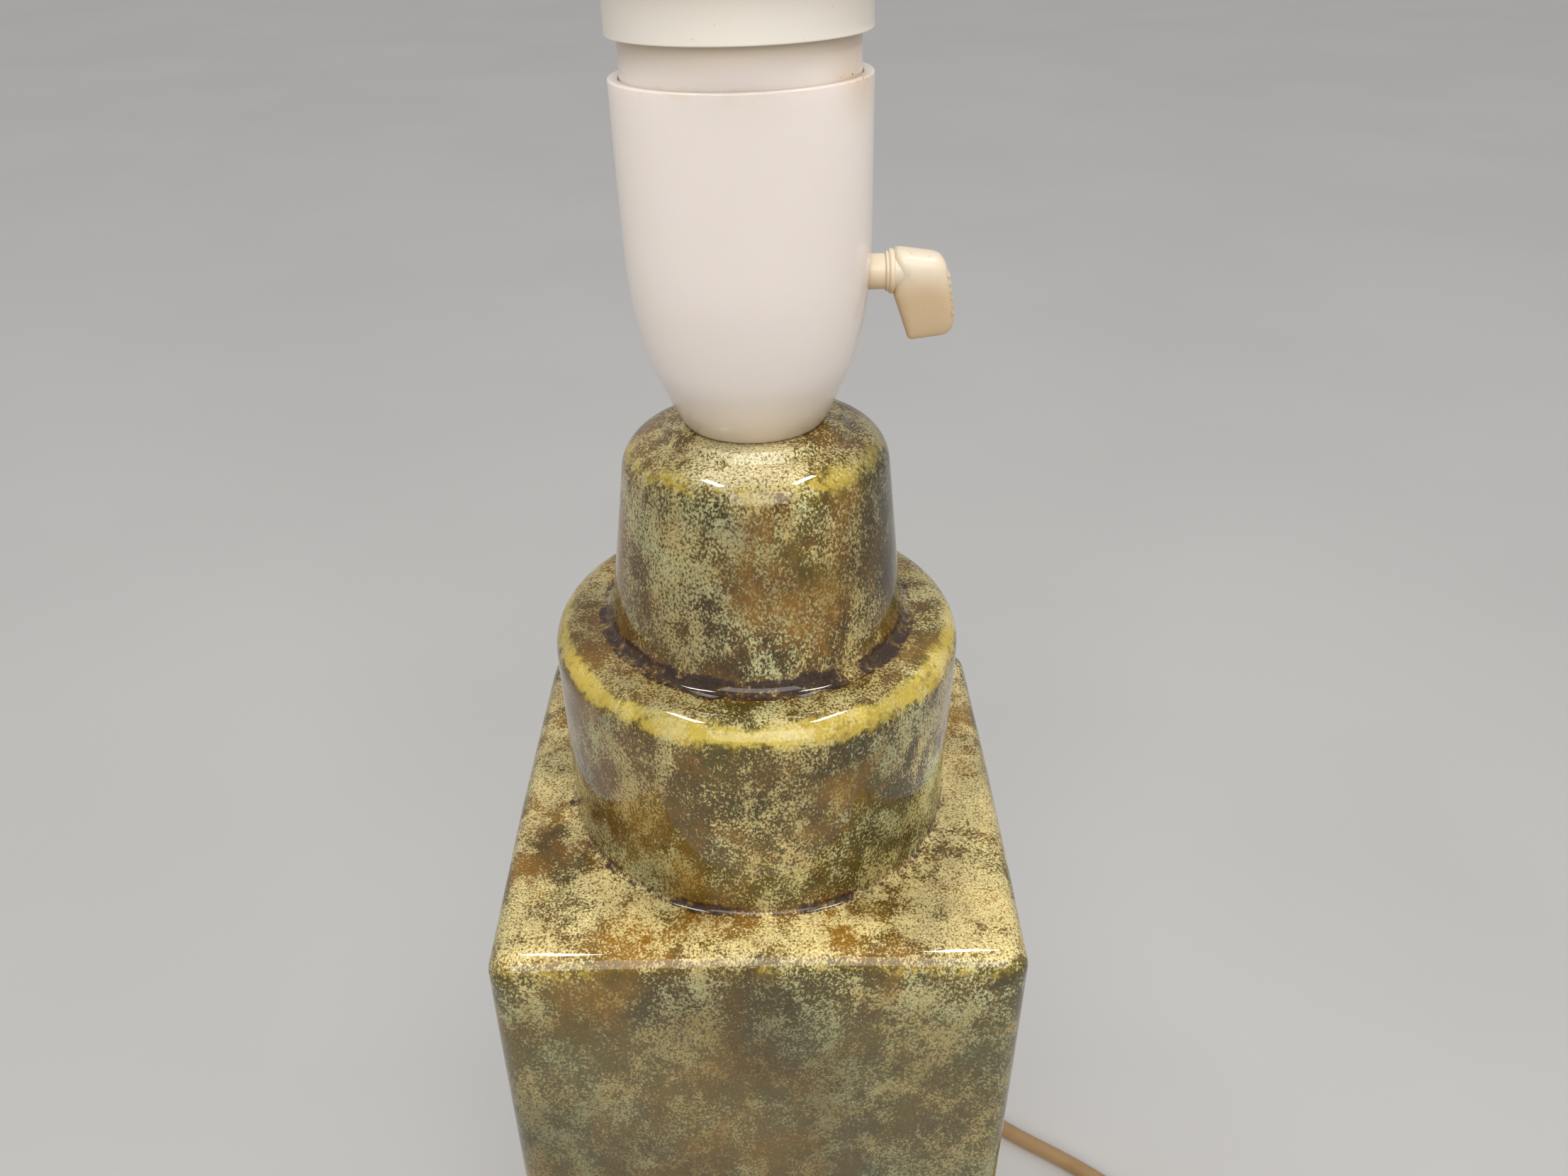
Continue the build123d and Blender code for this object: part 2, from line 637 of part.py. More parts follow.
with BuildPart() as plug_pins:
    with BuildSketch(plug_plane.offset(body_length + 0.02)):
        with GridLocations(pin_spacing, 0, 2, 1):
            Circle(pin_radius)
    extrude(amount=pin_length)
    fillet(plug_pins.faces().sort_by(Axis.X)[:2].edges(), 0.8 * pin_radius)
plug_pins.part.label = "plug_pins"

pieces = [
    ceramic_body, cord_bush, cord_stop, cord_stop_screws, threaded_tube, tube_washer, tube_nut,
    holder_cup, cup_grub_screw, cord_grip, cord_grip_screws, holder_barrel, contact_block, screw_shell,
    centre_contact, side_contact, terminals, terminal_screws, shade_ring_lower, shade_ring_upper,
    switch_frame, switch_rotor, rotor_contact, switch_spindle, switch_contacts, switch_spring, switch_knob,
    inner_cord, lead_switched, lead_neutral, mains_cord, cord_coil, coil_tie, cord_tail,
    plug_sleeve, plug_body, plug_pins,
]
for piece in pieces:
    export_step(piece.part, f"parts/{piece.part.label}.step")
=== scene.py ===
import json
import math

import bmesh
import bpy
import numpy as np
from mathutils import Matrix, Vector, noise


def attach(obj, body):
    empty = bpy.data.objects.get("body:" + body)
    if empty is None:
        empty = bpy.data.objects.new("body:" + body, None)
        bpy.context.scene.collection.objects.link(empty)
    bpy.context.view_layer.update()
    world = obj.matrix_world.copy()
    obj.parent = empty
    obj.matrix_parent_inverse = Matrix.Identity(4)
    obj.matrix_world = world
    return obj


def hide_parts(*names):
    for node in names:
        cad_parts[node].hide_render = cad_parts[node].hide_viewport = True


# Looks of a ceramic table lamp with a plastic lampholder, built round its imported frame. Metres.

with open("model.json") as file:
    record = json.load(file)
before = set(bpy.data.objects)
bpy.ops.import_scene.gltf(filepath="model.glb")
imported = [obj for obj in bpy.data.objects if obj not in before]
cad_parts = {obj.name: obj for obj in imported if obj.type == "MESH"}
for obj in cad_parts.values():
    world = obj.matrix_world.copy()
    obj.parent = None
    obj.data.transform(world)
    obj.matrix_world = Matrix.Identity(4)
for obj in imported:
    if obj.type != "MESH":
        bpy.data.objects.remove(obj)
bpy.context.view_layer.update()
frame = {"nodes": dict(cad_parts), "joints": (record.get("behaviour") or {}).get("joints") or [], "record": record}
mounts = {m["name"]: m for m in frame["record"]["mounts"]}
joints = {j["name"]: j for j in frame["joints"]}
mm = 0.001


def smooth(t):
    t = min(max(t, 0.0), 1.0)
    return t * t * (3 - 2 * t)


def arc(centre, radius, start, end, steps):
    # points of an arc in the profile plane, angles in degrees
    turns = [math.radians(start + (end - start) * i / steps) for i in range(steps + 1)]
    return [(centre[0] + radius * math.cos(a), centre[1] + radius * math.sin(a)) for a in turns]


def makeObject(name, verts, faces):
    mesh = bpy.data.meshes.new(name)
    mesh.from_pydata([tuple(v) for v in verts], [], faces)
    mesh.update()
    obj = bpy.data.objects.new(name, mesh)
    bpy.context.scene.collection.objects.link(obj)
    return obj


def shadeSoft(obj, angle=35):
    for polygon in obj.data.polygons:
        polygon.use_smooth = True
    obj.data.set_sharp_from_angle(angle=math.radians(angle))


def pointOut(obj):
    # merge doubles, then turn every face outwards
    work = bmesh.new()
    work.from_mesh(obj.data)
    bmesh.ops.remove_doubles(work, verts=work.verts, dist=1e-6)
    bmesh.ops.recalc_face_normals(work, faces=work.faces)
    work.to_mesh(obj.data)
    work.free()


def applyModifiers(obj):
    depsgraph = bpy.context.evaluated_depsgraph_get()
    mesh = bpy.data.meshes.new_from_object(obj.evaluated_get(depsgraph), depsgraph=depsgraph)
    obj.modifiers.clear()
    obj.data = mesh
    mesh.name = obj.name


def turned(name, profile, place, segments=128, closed=True, wobble=None):
    # a solid of revolution: profile is (radius, height) points, place carries it to the lamp
    count = len(profile)
    verts = []
    for radius, height in profile:
        for k in range(segments):
            a = 2 * math.pi * k / segments
            r = radius if wobble is None else radius + wobble(radius, height, a)
            verts.append(place @ Vector((r * math.cos(a), r * math.sin(a), height)))
    faces = []
    for i in range(count if closed else count - 1):
        for k in range(segments):
            n = (k + 1) % segments
            j = (i + 1) % count
            faces.append((i * segments + k, i * segments + n, j * segments + n, j * segments + k))
    obj = makeObject(name, verts, faces)
    pointOut(obj)
    return obj


class Shade:
    # short words for building a node tree
    def __init__(self, name):
        self.material = bpy.data.materials.new(name)
        self.material.use_nodes = True
        self.tree = self.material.node_tree
        self.tree.nodes.clear()
        self.out = self.tree.nodes.new("ShaderNodeOutputMaterial")
        self.shader = self.tree.nodes.new("ShaderNodeBsdfPrincipled")
        self.join(self.shader.outputs[0], self.out.inputs[0])
        self.place = self.tree.nodes.new("ShaderNodeTexCoord").outputs["Object"]

    def join(self, a, b):
        self.tree.links.new(a, b)

    def set(self, **values):
        names = {"rough": "Roughness", "metal": "Metallic", "ior": "IOR", "coat": "Coat Weight",
                 "coatRough": "Coat Roughness", "sub": "Subsurface Weight", "subScale": "Subsurface Scale"}
        for key, value in values.items():
            self.put(self.shader.inputs[names[key]], value)

    def put(self, socket, value):
        if isinstance(value, bpy.types.NodeSocket):
            self.join(value, socket)
        elif isinstance(value, tuple):
            opaque = len(value) == 3 and len(socket.default_value) == 4
            socket.default_value = value + (1.0,) if opaque else value
        else:
            socket.default_value = value

    def moved(self, scale=(1, 1, 1), shift=(0, 0, 0), turn=(0, 0, 0), source=None):
        node = self.tree.nodes.new("ShaderNodeMapping")
        self.join(source or self.place, node.inputs["Vector"])
        node.inputs["Scale"].default_value = scale
        node.inputs["Location"].default_value = shift
        node.inputs["Rotation"].default_value = turn
        return node.outputs[0]

    def noise(self, scale, detail=3.0, rough=0.5, twist=0.0, where=None, colour=False):
        node = self.tree.nodes.new("ShaderNodeTexNoise")
        self.join(where or self.place, node.inputs["Vector"])
        node.inputs["Scale"].default_value = scale
        node.inputs["Detail"].default_value = detail
        node.inputs["Roughness"].default_value = rough
        node.inputs["Distortion"].default_value = twist
        return node.outputs[1 if colour else 0]

    def step(self, value, low, high, start=0.0, end=1.0):
        # smooth step of value between low and high
        node = self.tree.nodes.new("ShaderNodeMapRange")
        node.interpolation_type = "SMOOTHSTEP"
        for socket, v in zip(node.inputs[:5], (value, low, high, start, end)):
            self.put(socket, v)
        return node.outputs[0]

    def maths(self, kind, a, b=0.0, clamp=False):
        node = self.tree.nodes.new("ShaderNodeMath")
        node.operation = kind
        node.use_clamp = clamp
        self.put(node.inputs[0], a)
        self.put(node.inputs[1], b)
        return node.outputs[0]

    def mix(self, amount, a, b, kind="MIX"):
        node = self.tree.nodes.new("ShaderNodeMix")
        node.data_type = "RGBA"
        node.blend_type = kind
        self.put(node.inputs[0], amount)
        self.put(node.inputs[6], a)
        self.put(node.inputs[7], b)
        return node.outputs[2]

    def attribute(self, name):
        node = self.tree.nodes.new("ShaderNodeAttribute")
        node.attribute_name = name
        return node.outputs["Fac"]

    def axis(self, name, source=None):
        node = self.tree.nodes.new("ShaderNodeSeparateXYZ")
        self.join(source or self.place, node.inputs[0])
        return node.outputs[name]

    def near(self, point, reach, soft, stretch=(1, 1, 1)):
        # 1 near a point, 0 further than reach
        node = self.tree.nodes.new("ShaderNodeVectorMath")
        node.operation = "DISTANCE"
        self.join(self.moved(scale=stretch), node.inputs[0])
        node.inputs[1].default_value = tuple(p * k for p, k in zip(point, stretch))
        return self.step(node.outputs["Value"], reach - soft, reach, 1.0, 0.0)

    def below(self, line, direction):
        # how far a point lies below a line across the direction given
        node = self.tree.nodes.new("ShaderNodeVectorMath")
        node.operation = "DOT_PRODUCT"
        self.join(self.place, node.inputs[0])
        node.inputs[1].default_value = direction
        return self.maths("SUBTRACT", line, node.outputs["Value"])

    def bump(self, height, strength, distance):
        node = self.tree.nodes.new("ShaderNodeBump")
        node.inputs["Strength"].default_value = strength
        node.inputs["Distance"].default_value = distance
        self.put(node.inputs["Height"], height)
        last = self.shader.inputs["Normal"]
        if last.is_linked:
            self.join(last.links[0].from_socket, node.inputs["Normal"])
        self.join(node.outputs[0], last)

    def colour(self, value):
        self.put(self.shader.inputs["Base Color"], value)


glazeLook = {
    "fleckScale": 2200, "grainScale": 3300, "fleckStretch": 0.75, "patchScale": 60, "tintScale": 38,
    "darkOlive": (0.030, 0.024, 0.004), "greyOlive": (0.072, 0.060, 0.016), "brown": (0.120, 0.057, 0.009),
    "olive": (0.095, 0.075, 0.006),
    "amber": (0.330, 0.160, 0.012), "paleGreen": (0.530, 0.515, 0.250), "paleCream": (0.600, 0.480, 0.190),
    "ochreFleck": (0.380, 0.240, 0.055), "topGround": (0.340, 0.160, 0.013), "topDark": (0.120, 0.075, 0.013),
    "topFleck": (0.870, 0.720, 0.320), "creamRun": (0.760, 0.670, 0.410), "edgeYellow": (0.640, 0.480, 0.068),
    "edgeFleck": (0.750, 0.655, 0.290),
    "edgeOlive": (0.150, 0.120, 0.014), "pool": (0.042, 0.021, 0.013), "rust": (0.190, 0.085, 0.016),
    "clay": (0.480, 0.330, 0.210), "clayDark": (0.360, 0.240, 0.150),
    # painted shade and light, partly the glaze's own colour: the cone's right and front edge and the drum's top
    # left lie darker, the drum's right lighter; centre, reach, softness, strength
    "paintedShadeAndLight": [((0.026, -0.004, 0.284), 0.034, 0.028, 0.42), ((-0.001, -0.027, 0.296), 0.013, 0.010, 0.70),
              ((-0.033, -0.004, 0.260), 0.017, 0.012, 0.72)],
    "drumPaintedLight": ((0.036, -0.014, 0.244), 0.030, 0.024, 1.35), "leftShade": 0.90,
}


def glazeMaterial():
    look = glazeLook
    s = Shade("mottledGlaze")
    level = s.attribute("level")
    flow = s.moved(scale=(1, 1, look["fleckStretch"]))
    runs = s.moved(scale=(1, 1, 0.55))
    patch = s.noise(look["patchScale"], 5, 0.62, 0.3, where=runs)
    patchFine = s.noise(210, 4, 0.62, 0.3, where=s.moved(scale=(1, 1, 0.7), shift=(0.3, 0.1, 0.7)))
    tint = s.noise(look["tintScale"], 5, 0.65, 0.3, where=s.moved(scale=(1, 1, 0.7), shift=(1.1, 0.4, 0.2)))
    tintTwo = s.noise(look["tintScale"] * 1.6, 5, 0.65, 0.3, where=s.moved(shift=(2.3, 1.7, 0.9)))
    ragged = s.maths("SUBTRACT", s.noise(95, 5, 0.65, 0.3), 0.5)
    raggedFine = s.maths("SUBTRACT", s.noise(620, 4, 0.65), 0.5)

    # the drum and the cone are browner on their left
    upper = s.step(s.axis("Z"), 0.216, 0.222)
    left = s.maths("MULTIPLY", upper, s.step(s.axis("X"), -0.026, -0.002, 1.0, 0.0))

    # the dark glaze underneath: olive black, brown and amber in soft patches
    under = s.mix(s.step(tint, 0.36, 0.64), look["darkOlive"], look["brown"])
    under = s.mix(s.maths("MULTIPLY", s.step(tintTwo, 0.44, 0.68), 0.8), under, look["olive"])
    amberField = s.maths("ADD", tint, s.maths("MULTIPLY", ragged, 0.35))
    under = s.mix(s.maths("MULTIPLY", s.step(amberField, 0.50, 0.72),
                          s.step(s.axis("Z"), 0.190, 0.214, 0.42, 0.85)), under, look["amber"])
    # the drum and the body stay greyer than the cone
    under = s.mix(s.step(s.axis("Z"), 0.252, 0.266, 0.50, 0.0), under, look["greyOlive"])
    under = s.mix(s.maths("MULTIPLY", left, 0.40), under, look["rust"])
    topGround = s.mix(s.step(tintTwo, 0.38, 0.62), look["topGround"], look["topDark"])
    under = s.mix(s.maths("MULTIPLY", level, 0.85), under, topGround)

    # fine pale flecks over it, closer together in some patches than in others
    front = s.near((-0.002, -0.0165, 0.302), 0.0150, 0.010)
    front = s.maths("MULTIPLY", front, s.step(level, 0.16, 0.33))
    fleck = s.noise(look["fleckScale"], 4, 0.66, 0.0, where=flow)
    density = s.maths("ADD", s.maths("MULTIPLY", patch, 0.55), s.maths("MULTIPLY", patchFine, 0.45))
    density = s.maths("ADD", density, s.maths("MULTIPLY", level, 0.035))
    density = s.maths("ADD", density, s.maths("MULTIPLY", front, 0.13))
    density = s.maths("ADD", density, s.maths("MULTIPLY", s.near((0.046, -0.020, 0.215), 0.040, 0.032), 0.05))
    gate = s.step(density, 0.38, 0.62, 0.655, 0.435)
    amount = s.step(s.maths("SUBTRACT", fleck, gate), -0.085, 0.085)
    amount = s.maths("MULTIPLY", amount, s.step(left, 0.0, 1.0, 1.0, 0.76))
    # the tall sides below the edge are more even
    even = s.step(s.axis("Z"), 0.190, 0.210, 0.42, 0.0)
    amount = s.maths("ADD", s.maths("MULTIPLY", amount, s.maths("SUBTRACT", 1.0, even)),
                     s.maths("MULTIPLY", even, 0.31))
    fleckTint = s.noise(55, 4, 0.6, where=s.moved(shift=(0.9, 2.1, 1.3)))
    fleckColour = s.mix(s.step(fleckTint, 0.40, 0.60), look["paleGreen"], look["paleCream"])
    fleckColour = s.mix(s.step(tint, 0.50, 0.70), fleckColour, look["ochreFleck"])
    fleckColour = s.mix(s.maths("MULTIPLY", level, s.step(density, 0.40, 0.62, 0.5, 1.0)), fleckColour,
                        look["topFleck"])
    fleckColour = s.mix(s.maths("MULTIPLY", front, 0.7), fleckColour, look["creamRun"])
    # the flecks are uneven themselves, and whole patches lie darker under the gloss
    grain = s.step(s.noise(look["grainScale"], 3, 0.7, where=s.moved(scale=(1, 1, 0.8),
        shift=(0.4, 0.8, 0.2))), 0.34, 0.60, 0.60, 1.12)
    fleckColour = s.mix(1.0, fleckColour, grain, "MULTIPLY")

    # edges run thin and yellow, creases hold a dark pool with a rusty rim
    edgeField = s.maths("ADD", s.attribute("edgeGlaze"), s.maths("MULTIPLY", ragged, 2.3))
    edgeField = s.maths("ADD", edgeField, s.maths("MULTIPLY", raggedFine, 1.3))
    edge = s.step(edgeField, 0.42, 1.00)
    edgeTint = s.mix(s.step(edgeField, 0.60, 1.10), look["edgeOlive"], look["edgeYellow"])
    poolField = s.maths("ADD", s.attribute("pool"), s.maths("MULTIPLY", ragged, 1.9))
    poolField = s.maths("ADD", poolField, s.maths("MULTIPLY", raggedFine, 1.9))
    pool = s.step(poolField, 0.48, 1.02)
    rust = s.step(poolField, -0.02, 0.62)
    amount = s.maths("MULTIPLY", amount, s.step(edge, 0.0, 1.0, 1.0, 0.86))
    amount = s.maths("MULTIPLY", amount, s.step(pool, 0.0, 1.0, 1.0, 0.06))
    under = s.mix(s.maths("MULTIPLY", edge, 0.85), under, edgeTint)
    fleckColour = s.mix(s.maths("MULTIPLY", edge, 0.55), fleckColour, look["edgeFleck"])
    under = s.mix(s.maths("MULTIPLY", rust, 0.7), under, look["rust"])
    under = s.mix(pool, under, look["pool"])
    glazed = s.mix(s.maths("MULTIPLY", amount, 0.94), under, fleckColour)
    shade = s.step(s.noise(31, 4, 0.6, where=s.moved(shift=(1.9, 0.2, 0.5))), 0.36, 0.60, 0.76, 1.20)

    def withPaintedLightAndShade(shade, field, strength):
        return s.maths("MULTIPLY", shade, s.step(field, 0.0, 1.0, 1.0, strength))

    # painted shade and light, partly the glaze's own colour: the listed areas, the left of the drum and cone, and
    # the drum's right
    for centre, reach, soft, strength in look["paintedShadeAndLight"]:
        shade = withPaintedLightAndShade(shade, s.near(centre, reach, soft), strength)
    shade = withPaintedLightAndShade(shade, left, look["leftShade"])
    centre, reach, soft, strength = look["drumPaintedLight"]
    shade = withPaintedLightAndShade(shade, s.near(centre, reach, soft), strength)
    # painted shade: the tall sides below the top edge are darker, less so towards the foot
    shade = s.maths("MULTIPLY", shade, s.step(s.axis("Z"), 0.196, 0.212, 0.75, 1.0))
    shade = s.maths("MULTIPLY", shade, s.step(s.axis("Z"), 0.100, 0.160, 1.12, 1.0))
    glazed = s.mix(1.0, glazed, shade, "MULTIPLY")

    # bare clay inside and under the foot
    bare = s.step(s.maths("ADD", s.attribute("glazed"), s.maths("MULTIPLY", raggedFine, 0.3)), 0.42, 0.55)
    clay = s.mix(s.step(s.noise(900, 3, 0.6), 0.35, 0.7), look["clay"], look["clayDark"])
    s.colour(s.mix(bare, clay, glazed))
    s.set(rough=s.step(bare, 0.0, 1.0, 0.85, 0.035), ior=1.50)
    s.bump(s.noise(75, 2, 0.5), 0.12, 0.0008)
    s.bump(s.maths("MULTIPLY", s.noise(1400, 3, 0.6), s.step(bare, 0.0, 1.0, 1.0, 0.0)), 0.6, 0.0003)
    return s.material


holderLook = {
    "white": (0.760, 0.690, 0.640), "warm": (0.745, 0.670, 0.605), "stain": (0.500, 0.310, 0.080),
    "stainAndShade": (0.520, 0.395, 0.215), "dirt": (0.100, 0.060, 0.030), "ring": (0.950, 0.885, 0.790),
    "ringWarm": (0.930, 0.855, 0.745), "knob": (0.800, 0.700, 0.550), "knobWarm": (0.760, 0.640, 0.460),
    "knobLowerEnd": (0.560, 0.400, 0.220),
}


def cupMaterial(rimPoint, stainPoint, axisDirection, dirtPoint):
    look = holderLook
    s = Shade("glossyWhitePlastic")
    cloud = s.noise(30, 3, 0.55)
    base = s.mix(s.step(cloud, 0.35, 0.70), look["white"], look["warm"])
    below = s.below(rimPoint, axisDirection)
    band = s.maths("MULTIPLY", s.step(below, 0.0004, 0.0030, 1.0, 0.0), s.step(below, -0.0006, -0.0002))
    # painted shade: the foot darkens where it faces down onto the glaze, partly real yellowing; the neck band up
    # to the ring is painted shadow under the ring
    neck = s.maths("MULTIPLY", s.step(below, -0.0070, -0.0010, 0.60, 0.0),
                   s.step(below, -0.0130, -0.0080, 0.20, 1.0))
    stainAndShade = s.maths("ADD", s.step(below, 0.0440, 0.0581, 0.0, 0.50), neck)
    base = s.mix(stainAndShade, base, look["stainAndShade"])
    grime = s.maths("MULTIPLY", band, s.step(s.noise(130, 4, 0.7), 0.42, 0.68))
    base = s.mix(s.maths("MULTIPLY", grime, 0.12), base, look["stain"])
    streak = s.near(stainPoint, 0.0086, 0.005, (1, 1, 0.55))
    spot = s.maths("MULTIPLY", streak, s.step(s.noise(330, 4, 0.7), 0.30, 0.58))
    base = s.mix(s.maths("MULTIPLY", spot, 0.8), base, look["stain"])
    dirt = s.maths("MULTIPLY", s.near(dirtPoint, 0.0062, 0.004), s.step(s.noise(900, 4, 0.75), 0.56, 0.66))
    dirt = s.maths("MULTIPLY", dirt, s.step(below, -0.0012, -0.0004))
    dirt = s.maths("MULTIPLY", dirt, s.step(below, 0.0003, 0.0009, 1.0, 0.0))
    yellow = s.maths("MULTIPLY", s.near(dirtPoint, 0.0090, 0.008), 0.26)
    base = s.mix(yellow, base, look["stain"])
    base = s.mix(s.maths("MULTIPLY", dirt, 0.85), base, look["dirt"])
    s.colour(base)
    s.set(rough=s.step(s.noise(260, 4, 0.6), 0.3, 0.7, 0.13, 0.18), ior=1.50, sub=0.15, subScale=0.003)
    s.bump(s.noise(48, 2, 0.5), 0.05, 0.0008)
    return s.material


def ringMaterial():
    look = holderLook
    s = Shade("satinCreamPlastic")
    base = s.mix(s.step(s.noise(30, 3, 0.6), 0.35, 0.68), look["ring"], look["ringWarm"])
    base = s.mix(s.maths("MULTIPLY", s.step(s.noise(700, 4, 0.75), 0.66, 0.74), 0.35), base,
                 (0.42, 0.30, 0.16))
    s.colour(base)
    s.set(rough=s.step(s.noise(400, 3, 0.6), 0.3, 0.7, 0.30, 0.42), ior=1.50, sub=0.10, subScale=0.002)
    s.bump(s.noise(900, 3, 0.6), 0.05, 0.00006)
    return s.material


def knobMaterial(spindleLine, axisDirection):
    # the lever is darker and browner towards its lower end
    look = holderLook
    s = Shade("agedIvoryPlastic")
    base = s.mix(s.step(s.noise(110, 3, 0.6), 0.35, 0.70), look["knob"], look["knobWarm"])
    base = s.mix(s.step(s.below(spindleLine, axisDirection), -0.0030, 0.0050, 0.0, 0.85), base,
                 look["knobLowerEnd"])
    base = s.mix(s.maths("MULTIPLY", s.step(s.noise(900, 4, 0.7), 0.60, 0.72), 0.35), base,
                 (0.42, 0.26, 0.10))
    s.colour(base)
    s.set(rough=s.step(s.noise(300, 3, 0.6), 0.3, 0.7, 0.27, 0.40), ior=1.50, sub=0.15, subScale=0.002)
    s.bump(s.noise(1300, 3, 0.6), 0.10, 0.00008)
    return s.material


def plainPlastic(name, light, dark, rough, grain=900, speck=0.2):
    s = Shade(name)
    base = s.mix(s.step(s.noise(90, 3, 0.6), 0.35, 0.70), light, dark)
    base = s.mix(s.maths("MULTIPLY", s.step(s.noise(grain, 4, 0.7), 0.60, 0.75), speck), base,
                 tuple(c * 0.4 for c in dark))
    s.colour(base)
    s.set(rough=s.step(s.noise(350, 3, 0.6), 0.3, 0.7, rough - 0.05, rough + 0.07), ior=1.48)
    s.bump(s.noise(grain * 1.5, 3, 0.6), 0.10, 0.00008)
    return s.material


def cordMaterial():
    s = Shade("tanCordSheath")
    base = s.mix(s.step(s.noise(70, 3, 0.6), 0.35, 0.70), (0.480, 0.300, 0.140), (0.400, 0.240, 0.105))
    base = s.mix(s.maths("MULTIPLY", s.step(s.noise(1600, 3, 0.7), 0.58, 0.72), 0.25), base,
                 (0.20, 0.12, 0.05))
    s.colour(base)
    s.set(rough=s.step(s.noise(600, 3, 0.6), 0.3, 0.7, 0.36, 0.50), ior=1.48, sub=0.10, subScale=0.001)
    s.bump(s.noise(2200, 2, 0.5), 0.12, 0.00006)
    return s.material


def metalMaterial(name, light, dark, rough, brushed=(1, 1, 1)):
    s = Shade(name)
    base = s.mix(s.step(s.noise(140, 4, 0.65), 0.38, 0.66), light, dark)
    s.colour(base)
    s.set(metal=1.0, rough=s.step(s.noise(500, 4, 0.65, where=s.moved(scale=brushed)), 0.3, 0.7,
                                  rough - 0.06, rough + 0.12))
    s.bump(s.noise(2600, 3, 0.6, where=s.moved(scale=brushed)), 0.12, 0.00004)
    return s.material


def floorMaterial():
    s = Shade("paleFloor")
    s.colour(s.mix(s.step(s.noise(4, 3, 0.5), 0.3, 0.7), (0.740, 0.725, 0.700), (0.710, 0.697, 0.673)))
    s.set(rough=0.62)
    s.bump(s.noise(420, 3, 0.6), 0.05, 0.0002)
    return s.material


holderAxis = Vector(mounts["lamp_socket"]["axis"]).normalized()
spindleAxis = Vector(joints["switch_turn"]["axis"]).normalized()
spindlePoint = Vector(joints["switch_turn"]["pos_m"])
switchHeight = 25.8 * mm
seatPoint = spindlePoint - holderAxis * switchHeight
holderSide = holderAxis.cross(spindleAxis)


def framed(x, y, z, origin):
    return Matrix.Translation(origin) @ Matrix((x, y, z)).transposed().to_4x4()


holderPlace = framed(spindleAxis, holderSide, holderAxis, seatPoint)
knobPlace = framed(holderSide, holderAxis, spindleAxis, spindlePoint)
print("frame loaded")

glaze = glazeMaterial()
rimLine = (seatPoint + holderAxis * 0.0581).dot(holderAxis)
stainSpot = tuple(spindlePoint + spindleAxis * 0.0200 - holderAxis * 0.0075)
dirtSpot = tuple(seatPoint + holderAxis * 0.0583 + spindleAxis * 0.0180 - holderSide * 0.0095)
cupPlastic = cupMaterial(rimLine, stainSpot, tuple(holderAxis), dirtSpot)
ringPlastic = ringMaterial()
knobPlastic = knobMaterial(spindlePoint.dot(holderAxis), tuple(holderAxis))
cordPlastic = cordMaterial()
insulator = plainPlastic("whitePorcelain", (0.72, 0.69, 0.63), (0.64, 0.60, 0.53), 0.32)
plugPlastic = plainPlastic("tanPlugPlastic", (0.430, 0.270, 0.125), (0.350, 0.210, 0.090), 0.34)
bushPlastic = plainPlastic("tanBushPlastic", (0.420, 0.265, 0.125), (0.340, 0.205, 0.090), 0.40)
leadBlue = plainPlastic("blueLeadSheath", (0.030, 0.110, 0.330), (0.020, 0.080, 0.260), 0.42)
leadBrown = plainPlastic("brownLeadSheath", (0.150, 0.060, 0.025), (0.110, 0.042, 0.018), 0.42)
brass = metalMaterial("dullBrass", (0.72, 0.52, 0.23), (0.52, 0.35, 0.14), 0.34)
steel = metalMaterial("zincSteel", (0.62, 0.61, 0.58), (0.44, 0.43, 0.41), 0.36)
pinMetal = metalMaterial("nickelPins", (0.70, 0.68, 0.64), (0.55, 0.53, 0.49), 0.22)
wireWrap = plainPlastic("whiteTie", (0.78, 0.76, 0.72), (0.70, 0.68, 0.63), 0.38)
print("materials made")


def finish(obj, material, replaces, body="lamp", angle=35):
    # one material, soft shading, and its place in the frame
    obj.data.materials.clear()
    obj.data.materials.append(material)
    shadeSoft(obj, angle)
    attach(obj, body)
    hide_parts(*replaces)
    return obj


base = {
    "half": 0.0508, "height": 0.215, "corner": 0.005, "edge": 0.0048,
    "drumLow": 0.0389, "drumTop": 0.0396, "drumHeight": 0.0446, "drumEdge": 0.0055,
    "coneLow": 0.0284, "taper": 0.116, "coneEdge": 0.0074, "seat": 0.3002,
    "tiltX": 0.0283, "tiltY": -0.0512, "drumCrease": 0.0012, "coneCrease": 0.0023,
    "wall": 0.006, "topWall": 0.008, "hole": 0.0054, "cordHole": 0.0046, "cordHoleHeight": 0.013,
    "foot": 0.0012, "flatSteps": 50, "cornerSteps": 12, "wobble": 0.00028, "poolLean": 0.24, "crown": 0.62,
    "upperPale": 0.35,
}


def baseAngles():
    # directions of the outline's points, from the body's own rounded square
    h, r, n, m = base["half"], base["corner"], base["flatSteps"], base["cornerSteps"]
    points = []
    for q in range(4):
        side = [(h, -(h - r) + 2 * (h - r) * i / n) for i in range(n)]
        bend = arc((h - r, h - r), r, 0, 90, m)[:-1]
        turn = math.radians(90 * q)
        c, s = math.cos(turn), math.sin(turn)
        points += [(x * c - y * s, x * s + y * c) for x, y in side + bend]
    return points


def squareRow(half, corner):
    # the same points on a smaller or larger rounded square
    h0, r0 = base["half"], base["corner"]
    row = []
    for x, y in baseAngles():
        out = []
        for v, other in ((x, y), (y, x)):
            flat, flat0 = half - corner, h0 - r0
            if abs(v) <= flat0:
                out.append(v * flat / flat0)
            else:
                out.append(math.copysign(flat + (abs(v) - flat0) * corner / r0, v))
        row.append(tuple(out))
    return row


